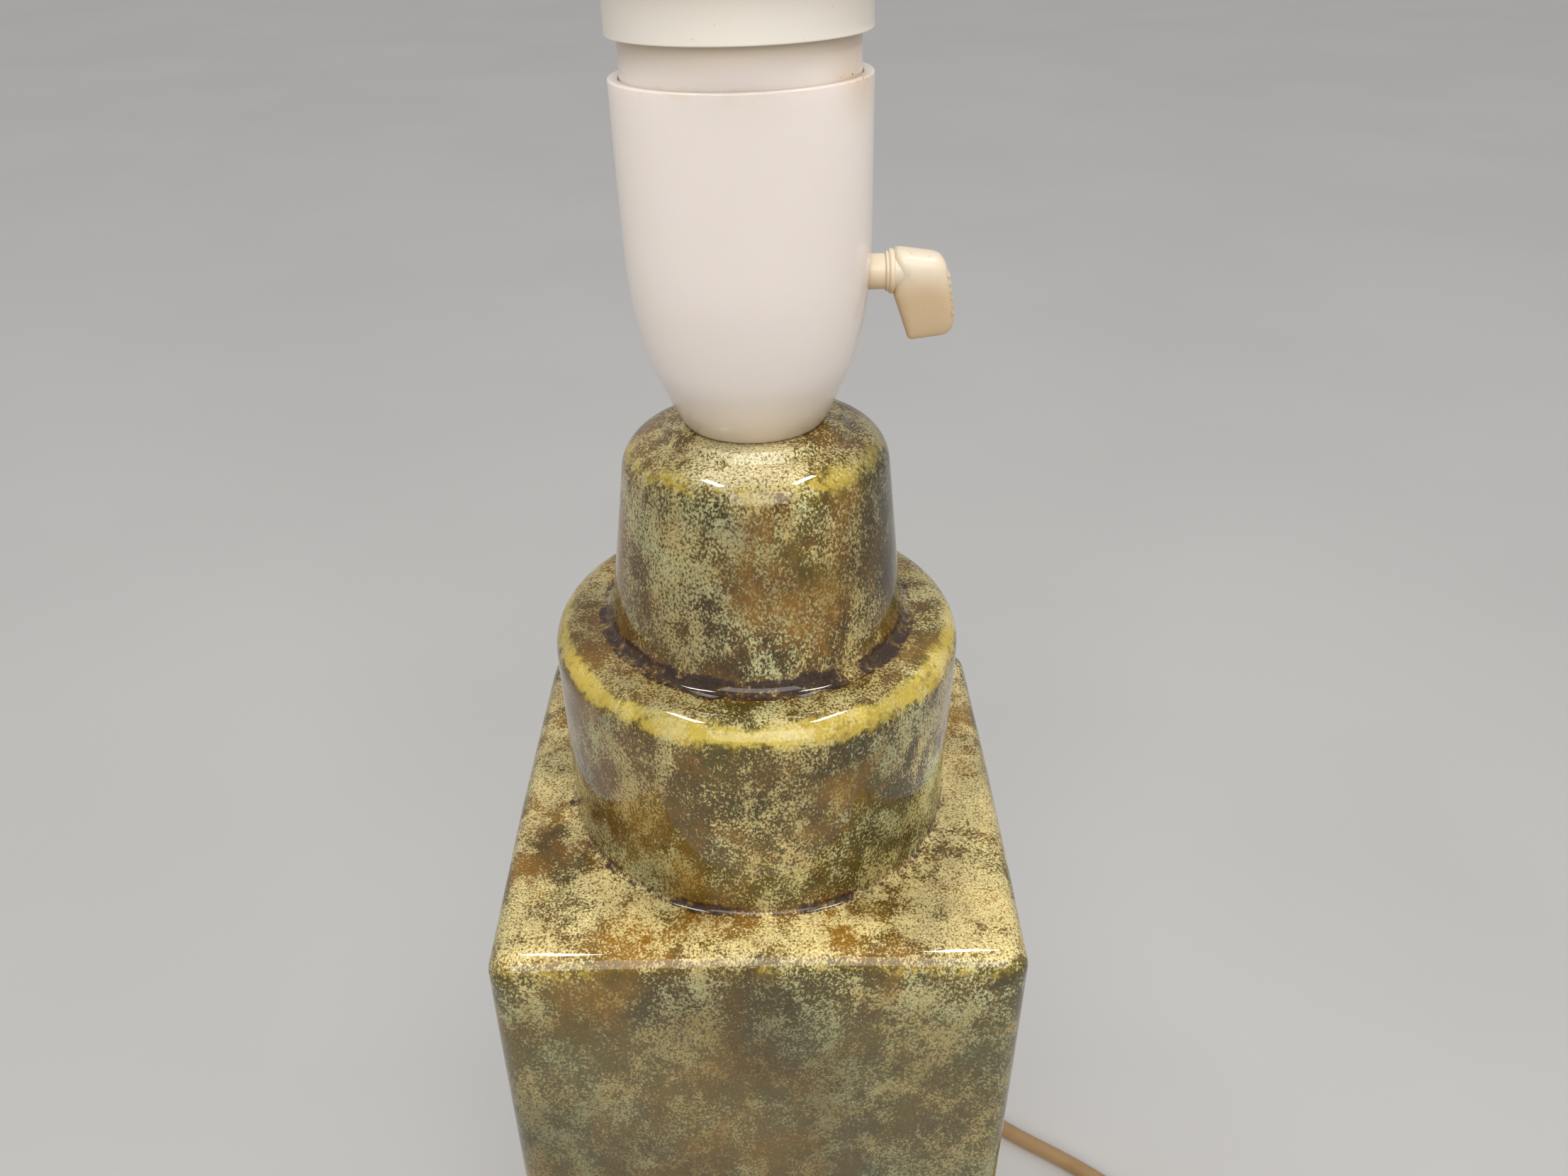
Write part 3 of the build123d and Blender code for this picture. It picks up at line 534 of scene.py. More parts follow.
def circleRow(radius, shift=(0, 0)):
    row = []
    for x, y in baseAngles():
        d = math.hypot(x, y)
        row.append((x / d * radius + shift[0], y / d * radius + shift[1]))
    return row


def hump(x, middle, spread):
    return math.exp(-((x - middle) / spread) ** 2)


def mixRow(a, b, t):
    return [(p[0] + (q[0] - p[0]) * t, p[1] + (q[1] - p[1]) * t) for p, q in zip(a, b)]


def buildBase():
    k = base
    rows = []       # (outline, height, edge, pool, glazed, tilt)

    def add(row, height, edge=0.0, pool=0.0, glazed=1.0, tilt=0.0):
        rows.append((row, height, edge, pool, glazed, tilt))

    # foot and body side, bottom up
    half, corner = k["half"], k["corner"]
    for inset, height, glazed in ((k["foot"], 0.0, 0.0), (k["foot"] * 0.5, 0.00016, 0.1),
                                  (k["foot"] * 0.13, 0.0006, 0.5), (0.0, 0.0012, 0.9)):
        add(squareRow(half - inset, max(corner - inset, 0.0002)), height, 0.0, 0.0, glazed)
    top = k["height"] - k["edge"]
    steps = 70
    for i in range(1, steps):
        z = 0.0012 + (top - 0.0006 - 0.0012) * i / steps
        add(squareRow(half, corner), z, 0.35 * smooth((z - top + 0.004) / 0.004))
    add(squareRow(half, corner), top - 0.0004, 0.40)
    for i in range(19):
        a = math.radians(90 * i / 18)
        inset = k["edge"] * (1 - math.cos(a))
        add(squareRow(half - inset, max(corner - inset, 0.00012)), top + k["edge"] * math.sin(a),
            0.64 * hump(i / 18, 0.34, 0.36))

    # the body's top, in to the drum's foot
    square = squareRow(half - k["edge"], 0.0002)
    crease = k["drumCrease"]
    reach = k["drumLow"] + crease
    for i in range(1, 15):
        t = i / 14
        add(mixRow(square, circleRow(reach), t), k["height"], 0.25 * (1 - smooth(t * 3)),
            0.5 * smooth((t - 0.80) / 0.2))
    for x, z in arc((reach, k["height"] + crease), crease, 270, 180, 7)[1:]:
        add(circleRow(x), z, 0.0, 0.66)
    drumTop = k["height"] + k["drumHeight"]
    low, high = k["height"] + crease, drumTop - k["drumEdge"]
    for i in range(1, 30):
        t = i / 30
        z = low + (high - low) * t
        pool = 0.5 * (1 - smooth((z - low) / 0.0016))
        edge = 0.40 * smooth((z - high + 0.003) / 0.003)
        add(circleRow(k["drumLow"] + (k["drumTop"] - k["drumLow"]) * t), z, edge, pool)
    for i, (x, z) in enumerate(arc((k["drumTop"] - k["drumEdge"], high), k["drumEdge"], 0, 90, 16)):
        add(circleRow(x), z, 1.24 * hump(i / 16, 0.45, 0.40))
    # the drum's top, in to the cone's foot
    crease = k["coneCrease"]
    reach = k["coneLow"] + crease
    flat = k["drumTop"] - k["drumEdge"]
    for i in range(1, 8):
        t = i / 8
        add(circleRow(flat + (reach - flat) * t), drumTop, 0.5 * (1 - t), 0.02 + 0.60 * t ** 3)
    for x, z in arc((reach, drumTop + crease), crease, 270, 180, 7):
        add(circleRow(x), z, 0.0, 0.76)

    # the cone, its rounded edge and its leaning top
    low = drumTop + crease
    lean = math.atan(k["taper"])
    high = k["seat"] - k["coneEdge"] * (1 + math.sin(lean))

    def wallAt(z):
        return k["coneLow"] - k["taper"] * (z - drumTop)

    for i in range(1, 32):
        z = low + (high - low) * i / 32
        pool = 0.5 * (1 - smooth((z - low) / 0.0016))
        edge = 0.25 * smooth((z - high + 0.005) / 0.005)
        add(circleRow(wallAt(z)), z, edge, pool, 1.0, smooth((z - 0.266) / (high - 0.266)))
    middle = (wallAt(high) - k["coneEdge"] * math.cos(lean), high - k["coneEdge"] * math.sin(lean))
    for i, (x, z) in enumerate(arc(middle, k["coneEdge"], math.degrees(lean), 90, 18)):
        add(circleRow(x), z, 0.82 * hump(i / 18, 0.42, 0.34), 0.0, 1.0, 1.0)
    seat = k["seat"]
    flat = middle[0]
    for i in range(1, 9):
        t = i / 8
        x = flat + (0.0062 - flat) * t
        add(circleRow(x), seat, 0.0, 0.40 * hump(x, 0.0122, 0.0011), 1.0, 1.0)
    add(circleRow(k["hole"] + 0.0004), seat, 0.0, 0.0, 0.4, 1.0)
    add(circleRow(k["hole"]), seat - 0.0004, 0.0, 0.0, 0.0, 1.0)
    slide = (-k["tiltX"] * k["topWall"], -k["tiltY"] * k["topWall"])

    # the hollow, top down
    wall = k["wall"]
    inTop = seat - k["topWall"]
    add(circleRow(k["hole"], (-slide[0], -slide[1])), inTop, 0, 0, 0)
    add(circleRow(0.0125), inTop, 0, 0, 0)
    add(circleRow(wallAt(inTop) - wall), inTop, 0, 0, 0)
    for i in range(1, 9):
        t = i / 8
        add(circleRow(wallAt(inTop) - wall + (k["coneLow"] - wallAt(inTop)) * t),
            inTop + (drumTop - wall - inTop) * t, 0, 0, 0)
    add(circleRow(k["drumLow"] - wall), drumTop - wall, 0, 0, 0)
    for i in range(1, 9):
        add(circleRow(k["drumLow"] - wall), drumTop - wall + (k["height"] - drumTop) * i / 8, 0, 0, 0)
    inner = squareRow(half - wall, corner)
    for i in range(1, 5):
        add(mixRow(circleRow(k["drumLow"] - wall), inner, i / 4), k["height"] - wall, 0, 0, 0)
    for i in range(1, 33):
        add(inner, (k["height"] - wall) * (1 - i / 33), 0, 0, 0)
    add(squareRow(half - wall, corner), 0.0008, 0, 0, 0)
    add(squareRow(half - wall + 0.0008, corner), 0.0, 0, 0, 0)

    verts, edges, pools, glazes = [], [], [], []
    for row, z, edge, pool, glazed, tilt in rows:
        for x, y in row:
            soft = k["wobble"] * (0.5 + 0.5 * noise.noise(Vector((x, y, z)) * 33)) * min(glazed,
                1) * (z > 0.004)
            d = math.hypot(x, y)
            px, py = x - x / d * soft, y - y / d * soft
            # the body's top edges sink a little towards its corners
            sink = k["crown"] * (x * y / half) ** 2 * smooth((z - 0.196) / 0.013) * (glazed > 0)
            verts.append((px, py, z - sink + tilt * (k["tiltX"] * px + k["tiltY"] * py)))
            square = max(abs(x), abs(y)) / d if z < k["height"] - 0.001 else 1.0
            corner45 = smooth((0.80 - square) / 0.07) * 0.35
            # the drum's yellow edge is strongest at the front
            strength = 1.0 - 0.20 * smooth(0.5 + 0.5 * y / d) if z > k["height"] + 0.02 else 1.0
            edges.append(max(edge * strength, corner45 if glazed else 0.0))
            # the glaze ran and pooled more at the front
            side = 1 + k["poolLean"] * (-x * 0.15 - y) / d
            pools.append(pool * side if z > k["height"] else pool)
            glazes.append(glazed)
    n = len(rows[0][0])
    faces = []
    for i in range(len(rows)):
        j = (i + 1) % len(rows)
        for a in range(n):
            b = (a + 1) % n
            faces.append((i * n + a, i * n + b, j * n + b, j * n + a))
    obj = makeObject("glazedBase", verts, faces)
    work = bmesh.new()
    work.from_mesh(obj.data)
    bmesh.ops.recalc_face_normals(work, faces=work.faces)
    work.to_mesh(obj.data)
    work.free()
    # faces that look up take a paler, warmer glaze
    levels = [smooth((v.normal.z - 0.35) / 0.6) * (1.0 if v.co.z < k["height"] + 0.002 else k["upperPale"])
              for v in obj.data.vertices]
    for name, values in (("edgeGlaze", edges), ("pool", pools), ("glazed", glazes), ("level", levels)):
        layer = obj.data.attributes.new(name, "FLOAT", "POINT")
        layer.data.foreach_set("value", values)
    return obj


def cutHole(obj, place, radius, length, steps=48):
    # a round hole along place's z axis, from 0 to length
    cutter = turned("cutter", [(0.0, 0.0), (radius, 0.0), (radius, length), (0.0, length)], place, steps,
                    closed=False)
    cut = obj.modifiers.new("cut", "BOOLEAN")
    cut.object = cutter
    cut.operation = "DIFFERENCE"
    cut.solver = "EXACT"
    applyModifiers(obj)
    bpy.data.objects.remove(cutter)


glazedBase = buildBase()
back = framed(Vector((1, 0, 0)), Vector((0, 0, -1)), Vector((0, 1, 0)),
              Vector((0, 0.040, base["cordHoleHeight"])))
cutHole(glazedBase, back, base["cordHole"], 0.015)
finish(glazedBase, glaze, ["ceramic_body"], angle=40)
print("glazed base", len(glazedBase.data.polygons), "faces")


cup = {
    "outer": [(0.0123, 0.0), (0.01425, 0.0034), (0.0159, 0.0074), (0.0179, 0.0123), (0.0195, 0.0187),
              (0.0205, 0.0266), (0.0208, 0.0374), (0.0210, 0.0581)],
    "inner": [(0.0192, 0.0441), (0.0184, 0.024), (0.0168, 0.0135), (0.0143, 0.0065), (0.0118, 0.003)],
    "lip": 0.00035, "wall": 0.00172, "boss": (0.0086, 0.013), "bore": 0.00503,
    "postRadius": 0.0024, "postPlace": 0.0096, "spindleHole": 0.00325,
}


def through(points, steps):
    # a smooth line through points
    p = [Vector((*a, 0)) for a in points]
    p = [p[0] * 2 - p[1]] + p + [p[-1] * 2 - p[-2]]
    line = []
    for a, b, c, d in zip(p, p[1:], p[2:], p[3:]):
        for i in range(steps):
            t = i / steps
            curved = (a * 2 - b * 5 + c * 4 - d) * t * t + (b * 3 - a - c * 3 + d) * t ** 3
            v = (b * 2 + (c - a) * t + curved) * 0.5
            line.append((v.x, v.y))
    return line + [tuple(p[-2][:2])]


def joinShells(obj, *others):
    # several closed shells in one mesh
    work = bmesh.new()
    for o in (obj,) + others:
        work.from_mesh(o.data)
    work.to_mesh(obj.data)
    work.free()
    for o in others:
        bpy.data.objects.remove(o)
    return obj


def pin(name, place, radius, low, high, edge=0.0002, segments=40):
    # a closed round pin with softened ends
    profile = [(0.0, low), (radius - edge, low), (radius, low + edge), (radius, high - edge),
               (radius - edge, high), (0.0, high)]
    return turned(name, profile, place, segments, closed=False)


def buildCup():
    outer = through(cup["outer"], 8)
    top, lip = 0.0581, cup["lip"]
    outer = [(0.0113, 0.0), (0.0118, 0.00002)] + [(r, s + 0.0002) for r, s in outer[:1]] + outer[1:-1]
    outer = [p for p in outer if p[1] < top - lip - 0.0001]
    profile = outer + arc((0.0210 - lip, top - lip), lip, 0, 90, 6)
    profile += [(0.0210 - cup["wall"] + 0.0002, top), (0.0210 - cup["wall"], top - 0.0002)]
    profile += through(cup["inner"], 5)
    bossRadius, bossTop = cup["boss"]
    profile += [(bossRadius, 0.003), (bossRadius, bossTop - 0.0003), (bossRadius - 0.0003, bossTop),
                (cup["bore"] + 0.0003, bossTop), (cup["bore"], bossTop - 0.0003), (cup["bore"], 0.0)]
    obj = turned("holderCup", profile, holderPlace, 160)
    hole = knobPlace @ Matrix.Translation((0, 0, 0.014))
    cutHole(obj, hole, cup["spindleHole"], 0.012)
    posts = [pin("post", holderPlace @ Matrix.Translation((0, y, 0)), cup["postRadius"], 0.0028, bossTop)
             for y in (cup["postPlace"], -cup["postPlace"])]
    return joinShells(obj, *posts)


holderCup = finish(buildCup(), cupPlastic, ["holder_cup"], angle=50)
print("cup made")


barrel = {
    "neck": 0.0191, "wall": 0.0026, "foot": 0.050, "top": 0.099, "root": 0.01915, "crest": 0.01975,
    "threadStart": 0.0680, "threadEnd": 0.0975, "pitch": 0.0025, "mouth": 0.0150,
}


def nodeGroup(name, inputs):
    # a geometry tree with named inputs
    tree = bpy.data.node_groups.new(name, "GeometryNodeTree")
    tree.interface.new_socket("Geometry", in_out="OUTPUT", socket_type="NodeSocketGeometry")
    tree.interface.new_socket("Geometry", in_out="INPUT", socket_type="NodeSocketGeometry")
    for label, kind in inputs:
        tree.interface.new_socket(label, in_out="INPUT", socket_type="NodeSocket" + kind)
    return tree, tree.nodes.new("NodeGroupInput"), tree.nodes.new("NodeGroupOutput")


def addNode(tree, kind, links=(), **values):
    node = tree.nodes.new(kind)
    for key, value in values.items():
        setattr(node, key, value)
    for socket, source in links:
        target = node.inputs[socket]
        if isinstance(source, bpy.types.NodeSocket):
            tree.links.new(source, target)
        else:
            target.default_value = source
    return node


def runTree(obj, tree, values):
    # sets the named inputs, then keeps the result as a plain mesh
    modifier = obj.modifiers.new(tree.name, "NODES")
    modifier.node_group = tree
    for item in tree.interface.items_tree:
        if item.in_out == "INPUT" and item.name in values:
            modifier[item.identifier] = values[item.name]
    obj.update_tag()
    applyModifiers(obj)
    return obj


def addAndPaint(tree, given, out, extra):
    # joins the extra shapes to what the tree was given, as one painted mesh
    both = addNode(tree, "GeometryNodeJoinGeometry")
    tree.links.new(given.outputs["Geometry"], both.inputs[0])
    tree.links.new(extra.outputs[0], both.inputs[0])
    real = addNode(tree, "GeometryNodeRealizeInstances", [(0, both.outputs[0])])
    paint = addNode(tree, "GeometryNodeSetMaterial", [("Geometry", real.outputs[0]),
                                                      ("Material", given.outputs["Finish"])])
    tree.links.new(paint.outputs[0], out.inputs[0])
    return tree


def threadTree():
    # a trapezoid ridge swept along a spiral, added to the barrel it is given
    tree, given, out = nodeGroup("spiralThread", [("Radius", "Float"), ("Pitch", "Float"), ("Turns", "Float"),
                                                  ("Depth", "Float"), ("Start", "Float"),
                                                  ("Finish", "Material")])
    rise = addNode(tree, "ShaderNodeMath", [(0, given.outputs["Pitch"]), (1, given.outputs["Turns"])],
                   operation="MULTIPLY")
    spiral = addNode(tree, "GeometryNodeCurveSpiral", [
        ("Resolution", 72), ("Rotations", given.outputs["Turns"]), ("Start Radius", given.outputs["Radius"]),
        ("End Radius", given.outputs["Radius"]), ("Height", rise.outputs[0])])
    upright = addNode(tree, "GeometryNodeSetCurveNormal", [("Curve", spiral.outputs[0])])
    if hasattr(upright, "mode"):
        upright.mode = "Z_UP"
    else:
        upright.inputs["Mode"].default_value = "Z Up"
    wide = addNode(tree, "ShaderNodeMath", [(0, given.outputs["Pitch"]), (1, 0.62)], operation="MULTIPLY")
    narrow = addNode(tree, "ShaderNodeMath", [(0, given.outputs["Pitch"]), (1, 0.26)], operation="MULTIPLY")
    deep = addNode(tree, "ShaderNodeMath", [(0, given.outputs["Depth"]), (1, 2.0)], operation="MULTIPLY")
    ridge = addNode(tree, "GeometryNodeCurvePrimitiveQuadrilateral", [
        ("Height", deep.outputs[0]), ("Bottom Width", wide.outputs[0]), ("Top Width", narrow.outputs[0]),
        ("Offset", 0.0)],
        mode="TRAPEZOID")
    turnIt = addNode(tree, "GeometryNodeTransform", [("Geometry", ridge.outputs[0]),
                                                     ("Rotation", (0, 0, math.radians(90)))])
    sweep = addNode(tree, "GeometryNodeCurveToMesh", [("Curve", upright.outputs[0]),
                                                      ("Profile Curve", turnIt.outputs[0]),
                                                      ("Fill Caps", True)])
    up = addNode(tree, "ShaderNodeCombineXYZ", [("Z", given.outputs["Start"])])
    lift = addNode(tree, "GeometryNodeTransform", [("Geometry", sweep.outputs[0]),
                                                   ("Translation", up.outputs[0])])
    return addAndPaint(tree, given, out, lift)


def buildBarrel():
    k = barrel
    inner = k["neck"] - k["wall"]
    profile = [(inner, k["foot"]), (k["neck"], k["foot"]), (k["neck"], k["threadStart"] - 0.001),
               (k["root"], k["threadStart"] - 0.0005), (k["root"], k["threadEnd"] + 0.0008)]
    profile += arc((k["root"] - 0.0007, k["top"] - 0.0007), 0.0007, 0, 90, 5)
    profile += arc((k["mouth"] + 0.0008, k["top"] - 0.0008), 0.0008, 90, 180, 5)
    profile += [(k["mouth"], k["top"] - 0.0055), (k["mouth"] + 0.0005, k["top"] - 0.006),
                (inner, k["top"] - 0.006)]
    obj = turned("holderBarrel", profile, Matrix.Identity(4), 128)
    turns = (k["threadEnd"] - k["threadStart"]) / k["pitch"]
    runTree(obj, threadTree(), {"Radius": k["root"] + 0.00002, "Pitch": k["pitch"], "Turns": turns,
                                "Depth": k["crest"] - k["root"] - 0.00002, "Start": k["threadStart"],
                                "Finish": cupPlastic})
    obj.data.transform(holderPlace)
    return obj


holderBarrel = finish(buildBarrel(), cupPlastic, ["holder_barrel"], angle=40)
print("barrel made", len(holderBarrel.data.polygons), "faces")


ring = {
    "bore": 0.01985, "skirt": 0.0209, "flange": 0.02835, "rim": 0.02870, "thick": 0.0022, "height": 0.012,
    "lowerFoot": 0.0642, "upperFoot": 0.0792, "gripCount": 48, "gripRadius": 0.00070,
}


def gripTree():
    # small upright bars round a flange's rim
    tree, given, out = nodeGroup("gripBars", [("Radius", "Float"), ("Count", "Int"), ("Bar", "Float"),
                                              ("Height", "Float"), ("Level", "Float"),
                                              ("Finish", "Material")])
    circle = addNode(tree, "GeometryNodeCurvePrimitiveCircle", [("Resolution", given.outputs["Count"]),
        ("Radius", given.outputs["Radius"])])
    bar = addNode(tree, "GeometryNodeMeshCylinder", [("Vertices", 10), ("Radius", given.outputs["Bar"]),
                                                     ("Depth", given.outputs["Height"])])
    spots = addNode(tree, "GeometryNodeCurveToPoints", [("Curve", circle.outputs[0]),
                                                        ("Count", given.outputs["Count"])], mode="COUNT")
    bars = addNode(tree, "GeometryNodeInstanceOnPoints", [("Points", spots.outputs[0]),
                                                          ("Instance", bar.outputs[0])])
    up = addNode(tree, "ShaderNodeCombineXYZ", [("Z", given.outputs["Level"])])
    lift = addNode(tree, "GeometryNodeTransform", [("Geometry", bars.outputs[0]),
                                                   ("Translation", up.outputs[0])])
    return addAndPaint(tree, given, out, lift)


gripBars = gripTree()


def buildRing(name, foot, flangeUp):
    k = ring
    e = 0.0006
    # drawn with the flange at the bottom, then turned over for the lower ring
    profile = [(k["bore"] + 0.0004, 0.0)]
    profile += arc((k["flange"] - e, e), e, 270, 360, 5) + arc((k["flange"] - e, k["thick"] - e), e, 0, 90, 5)
    profile += arc((k["skirt"] + 0.0008, k["thick"] + 0.0008), 0.0008, 270, 180, 5)
    profile += arc((k["skirt"] - 0.0003, k["height"] - 0.0003), 0.0003, 0, 90, 5)
    profile += [(k["bore"] + 0.0002, k["height"]), (k["bore"], k["height"] - 0.0002), (k["bore"], 0.0004)]
    obj = turned(name, profile, Matrix.Identity(4), 144)
    runTree(obj, gripBars, {"Radius": k["rim"] - k["gripRadius"], "Count": k["gripCount"],
                            "Bar": k["gripRadius"],
                            "Height": k["thick"] - 0.0007, "Level": k["thick"] / 2, "Finish": ringPlastic})
    flip = Matrix.Translation((0, 0, k["height"])) @ Matrix.Rotation(math.pi, 4,
        "X") if flangeUp else Matrix.Identity(4)
    obj.data.transform(holderPlace @ Matrix.Translation((0, 0, foot)) @ flip)
    return obj


lowerRing = finish(buildRing("shadeRingLower", ring["lowerFoot"], True), ringPlastic,
                   ["shade_ring_lower"], "lower_ring")
upperRing = finish(buildRing("shadeRingUpper", ring["upperFoot"], False), ringPlastic,
                   ["shade_ring_upper"], "upper_ring")
print("shade rings made")


knob = {
    "start": 0.0229, "inner": 0.00225, "middle": (0.0292, -0.0035), "halfWidth": 0.0041, "narrowing": 0.11,
    # the lever's outline from the side: out from the axis, height over the spindle, rounding
    "outline": [(0.0244, 0.0041, 0.0011), (0.0330, 0.0028, 0.0032), (0.0349, -0.0068, 0.0035),
                (0.0347, -0.0110, 0.0026), (0.0271, -0.0119, 0.0010), (0.0244, -0.0038, 0.0022)],
    "ribCount": 6, "ribRadius": 0.00030, "ribLength": 0.0050,
    "ribFrom": (0.03358, 0, -0.0004), "ribTo": (0.03451, 0, -0.0068),
}


def rounded(corners, steps=7):
    # a closed outline with each corner rounded
    line = []
    for i, (x, y, r) in enumerate(corners):
        here = Vector((x, y))
        before = (Vector(corners[i - 1][:2]) - here).normalized()
        after = (Vector(corners[(i + 1) % len(corners)][:2]) - here).normalized()
        half = before.angle(after) / 2
        reach = r / math.tan(half)
        start, end = here + before * reach, here + after * reach
        for j in range(steps + 1):
            t = j / steps
            line.append(start * (1 - t) ** 2 + here * 2 * t * (1 - t) + end * t * t)
    full = []
    for a, b in zip(line, line[1:] + line[:1]):
        pieces = max(1, int((b - a).length / 0.0006))
        full += [tuple(a + (b - a) * j / pieces) for j in range(pieces)]
    return full


def superRow(near, far, half, power, count=36):
    # a soft rectangle round the lever
    row = []
    for i in range(count):
        a = 2 * math.pi * i / count
        c, s = math.cos(a), math.sin(a)
        x = math.copysign(abs(c) ** (2 / power), c)
        y = math.copysign(abs(s) ** (2 / power), s)
        row.append(((near + far) / 2 + x * (far - near) / 2, y * half))
    return row


def ribTree():
    # thin level ribs in a row from one point to another
    tree, given, out = nodeGroup("levelRibs", [("Length", "Float"), ("Rib", "Float"), ("Count", "Int"),
                                               ("Finish", "Material"),
                                               ("From", "Vector"), ("To", "Vector")])
    path = addNode(tree, "GeometryNodeCurvePrimitiveLine", [("Start", given.outputs["From"]),
                                                            ("End", given.outputs["To"])])
    spots = addNode(tree, "GeometryNodeCurveToPoints", [("Curve", path.outputs[0]),
                                                        ("Count", given.outputs["Count"])], mode="COUNT")
    bar = addNode(tree, "GeometryNodeMeshCylinder", [("Vertices", 8), ("Radius", given.outputs["Rib"]),
                                                     ("Depth", given.outputs["Length"])])
    lie = addNode(tree, "GeometryNodeTransform", [("Geometry", bar.outputs[0]),
                                                  ("Rotation", (math.radians(90), 0, 0))])
    ribs = addNode(tree, "GeometryNodeInstanceOnPoints", [("Points", spots.outputs[0]),
                                                          ("Instance", lie.outputs[0])])
    return addAndPaint(tree, given, out, ribs)


levelRibs = ribTree()


def buildKnob():
    k = knob
    outline = rounded(k["outline"])
    n, turns = len(outline), 22
    midX, midZ = k["middle"]
    verts = []
    for j in range(1, 2 * turns):
        a = math.pi * (j / (2 * turns) - 0.5)
        for x, z in outline:
            # the top is a full dome, the rest a soft-edged slab
            power = 4.6 - 1.7 * smooth((z + 0.0045) / 0.008)
            shrink = abs(math.cos(a)) ** (2 / power)
            px, pz = midX + (x - midX) * shrink, midZ + (z - midZ) * shrink
            wide = k["halfWidth"] - k["narrowing"] * (0.004 - pz)
            verts.append((px, math.copysign(abs(math.sin(a)) ** (2 / power), a) * wide, pz))
    rows = 2 * turns - 1
    faces = [(i * n + a, i * n + (a + 1) % n, (i + 1) * n + (a + 1) % n, (i + 1) * n + a)
             for i in range(rows - 1) for a in range(n)]
    wide = k["halfWidth"] - k["narrowing"] * (0.004 - midZ)
    verts += [(midX, -wide, midZ), (midX, wide, midZ)]
    faces += [(a, (a + 1) % n, n * rows) for a in range(n)]
    faces += [((rows - 1) * n + a, (rows - 1) * n + (a + 1) % n, n * rows + 1) for a in range(n)]
    lever = makeObject("switchKnob", verts, faces)
    pointOut(lever)
    runTree(lever, levelRibs, {"Length": k["ribLength"], "Rib": k["ribRadius"], "Count": k["ribCount"],
                               "Finish": knobPlastic,
                               "From": k["ribFrom"], "To": k["ribTo"]})
    lever.data.transform(framed(spindleAxis, holderSide, holderAxis, spindlePoint))
    b = k["inner"]
    s = k["start"]
    hub = [(b, s), (0.0030, s), (0.00335, s + 0.00025), (0.00335, s + 0.00065), (0.00352, s + 0.0007),
           (0.00375, s + 0.0009),
           (0.00375, s + 0.0013), (0.00360, s + 0.0016), (0.0033, s + 0.0017), (0.0033, s + 0.004),
           (b, s + 0.004)]
    return joinShells(lever, turned("hub", hub, knobPlace, 64))


switchKnob = finish(buildKnob(), knobPlastic, ["switch_knob"], "switch", 50)
print("knob made")


flex = {
    "diameter": 0.005, "length": 1.8, "exit": (0.0, 0.05262, 0.013),
    "toCoil": [(0, 52.62, 13), (0, 69.5, 12.6), (8.8, 85.5, 8.2), (24.5, 95, 4), (43, 93, 2.5),
               (60.5, 78.5, 2.5),
               (82, 59, 2.5), (105, 45, 2.5), (124, 29, 2.5), (134.5, 9, 2.5)],
    "toPlug": [(137.0, -9, 12.4), (139.2, -28, 8.4), (138.5, -49.8, 3.6), (130.7, -63.2, 4.4),
               (117.3, -71, 6.4),
               (102, -71, 6.95)],
    "coilCentre": (104, -14), "startAngle": -4, "perTurn": 24,
    # turns made so far, radius, height
    "lay": [(0.0, 33.7, 2.5), (1.1, 33.7, 2.5), (1.3, 28.5, 2.5), (2.1, 28.5, 2.5), (2.3, 23.3, 2.5),
            (3.1, 23.3, 2.5),
            (3.3, 23.3, 7.6), (4.1, 23.3, 7.6), (4.3, 28.5, 7.6), (5.1, 28.5, 7.6), (5.3, 33.7, 7.6),
            (6.1, 33.7, 7.6),
            (6.3, 28.5, 12.7), (6.95, 28.5, 12.7), (7.1, 33.9, 13.0), (7.2, 34.2, 14.2), (7.34, 33.8, 12.8),
            (7.9, 33.7, 12.7)],
}


def coilPoint(turns):
    k = flex
    for (t0, r0, z0), (t1, r1, z1) in zip(k["lay"], k["lay"][1:]):
        if turns <= t1:
            u = smooth((turns - t0) / (t1 - t0))
            radius, z = r0 + (r1 - r0) * u, z0 + (z1 - z0) * u
            break
    a = math.radians(k["startAngle"]) - 2 * math.pi * turns
    radius *= 1 / math.cos(math.pi / k["perTurn"]) * (1 + 0.006 * math.cos(2 * a + 0.7))
    return (k["coilCentre"][0] + radius * math.cos(a), k["coilCentre"][1] + radius * math.sin(a), z)


def buildCord():
    k = flex
    turns = k["lay"][-1][0]
    count = int(turns * k["perTurn"])
    points = k["toCoil"] + [coilPoint(turns * i / count) for i in range(count + 1)] + k["toPlug"]
    curve = bpy.data.curves.new("mainsCord", "CURVE")
    curve.dimensions = "3D"
    spline = curve.splines.new("NURBS")
    spline.points.add(len(points) - 1)
    for p, (x, y, z) in zip(spline.points, points):
        p.co = (x * mm, y * mm, z * mm, 1.0)
    spline.order_u = 3
    spline.use_endpoint_u = True
    spline.resolution_u = 4
    curve.bevel_depth = k["diameter"] / 2
    curve.bevel_resolution = 5
    curve.use_fill_caps = True
    obj = bpy.data.objects.new("mainsCord", curve)
    bpy.context.scene.collection.objects.link(obj)
    obj.data.materials.append(cordPlastic)
    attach(obj, "lamp")
    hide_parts("mains_cord", "cord_coil", "cord_tail")
    return obj


mainsCord = buildCord()
print("cord made")


tie = {"angle": 215, "halfWidth": 0.0080, "top": 0.0154, "wide": 0.004, "thick": 0.0007, "corner": 0.0026}


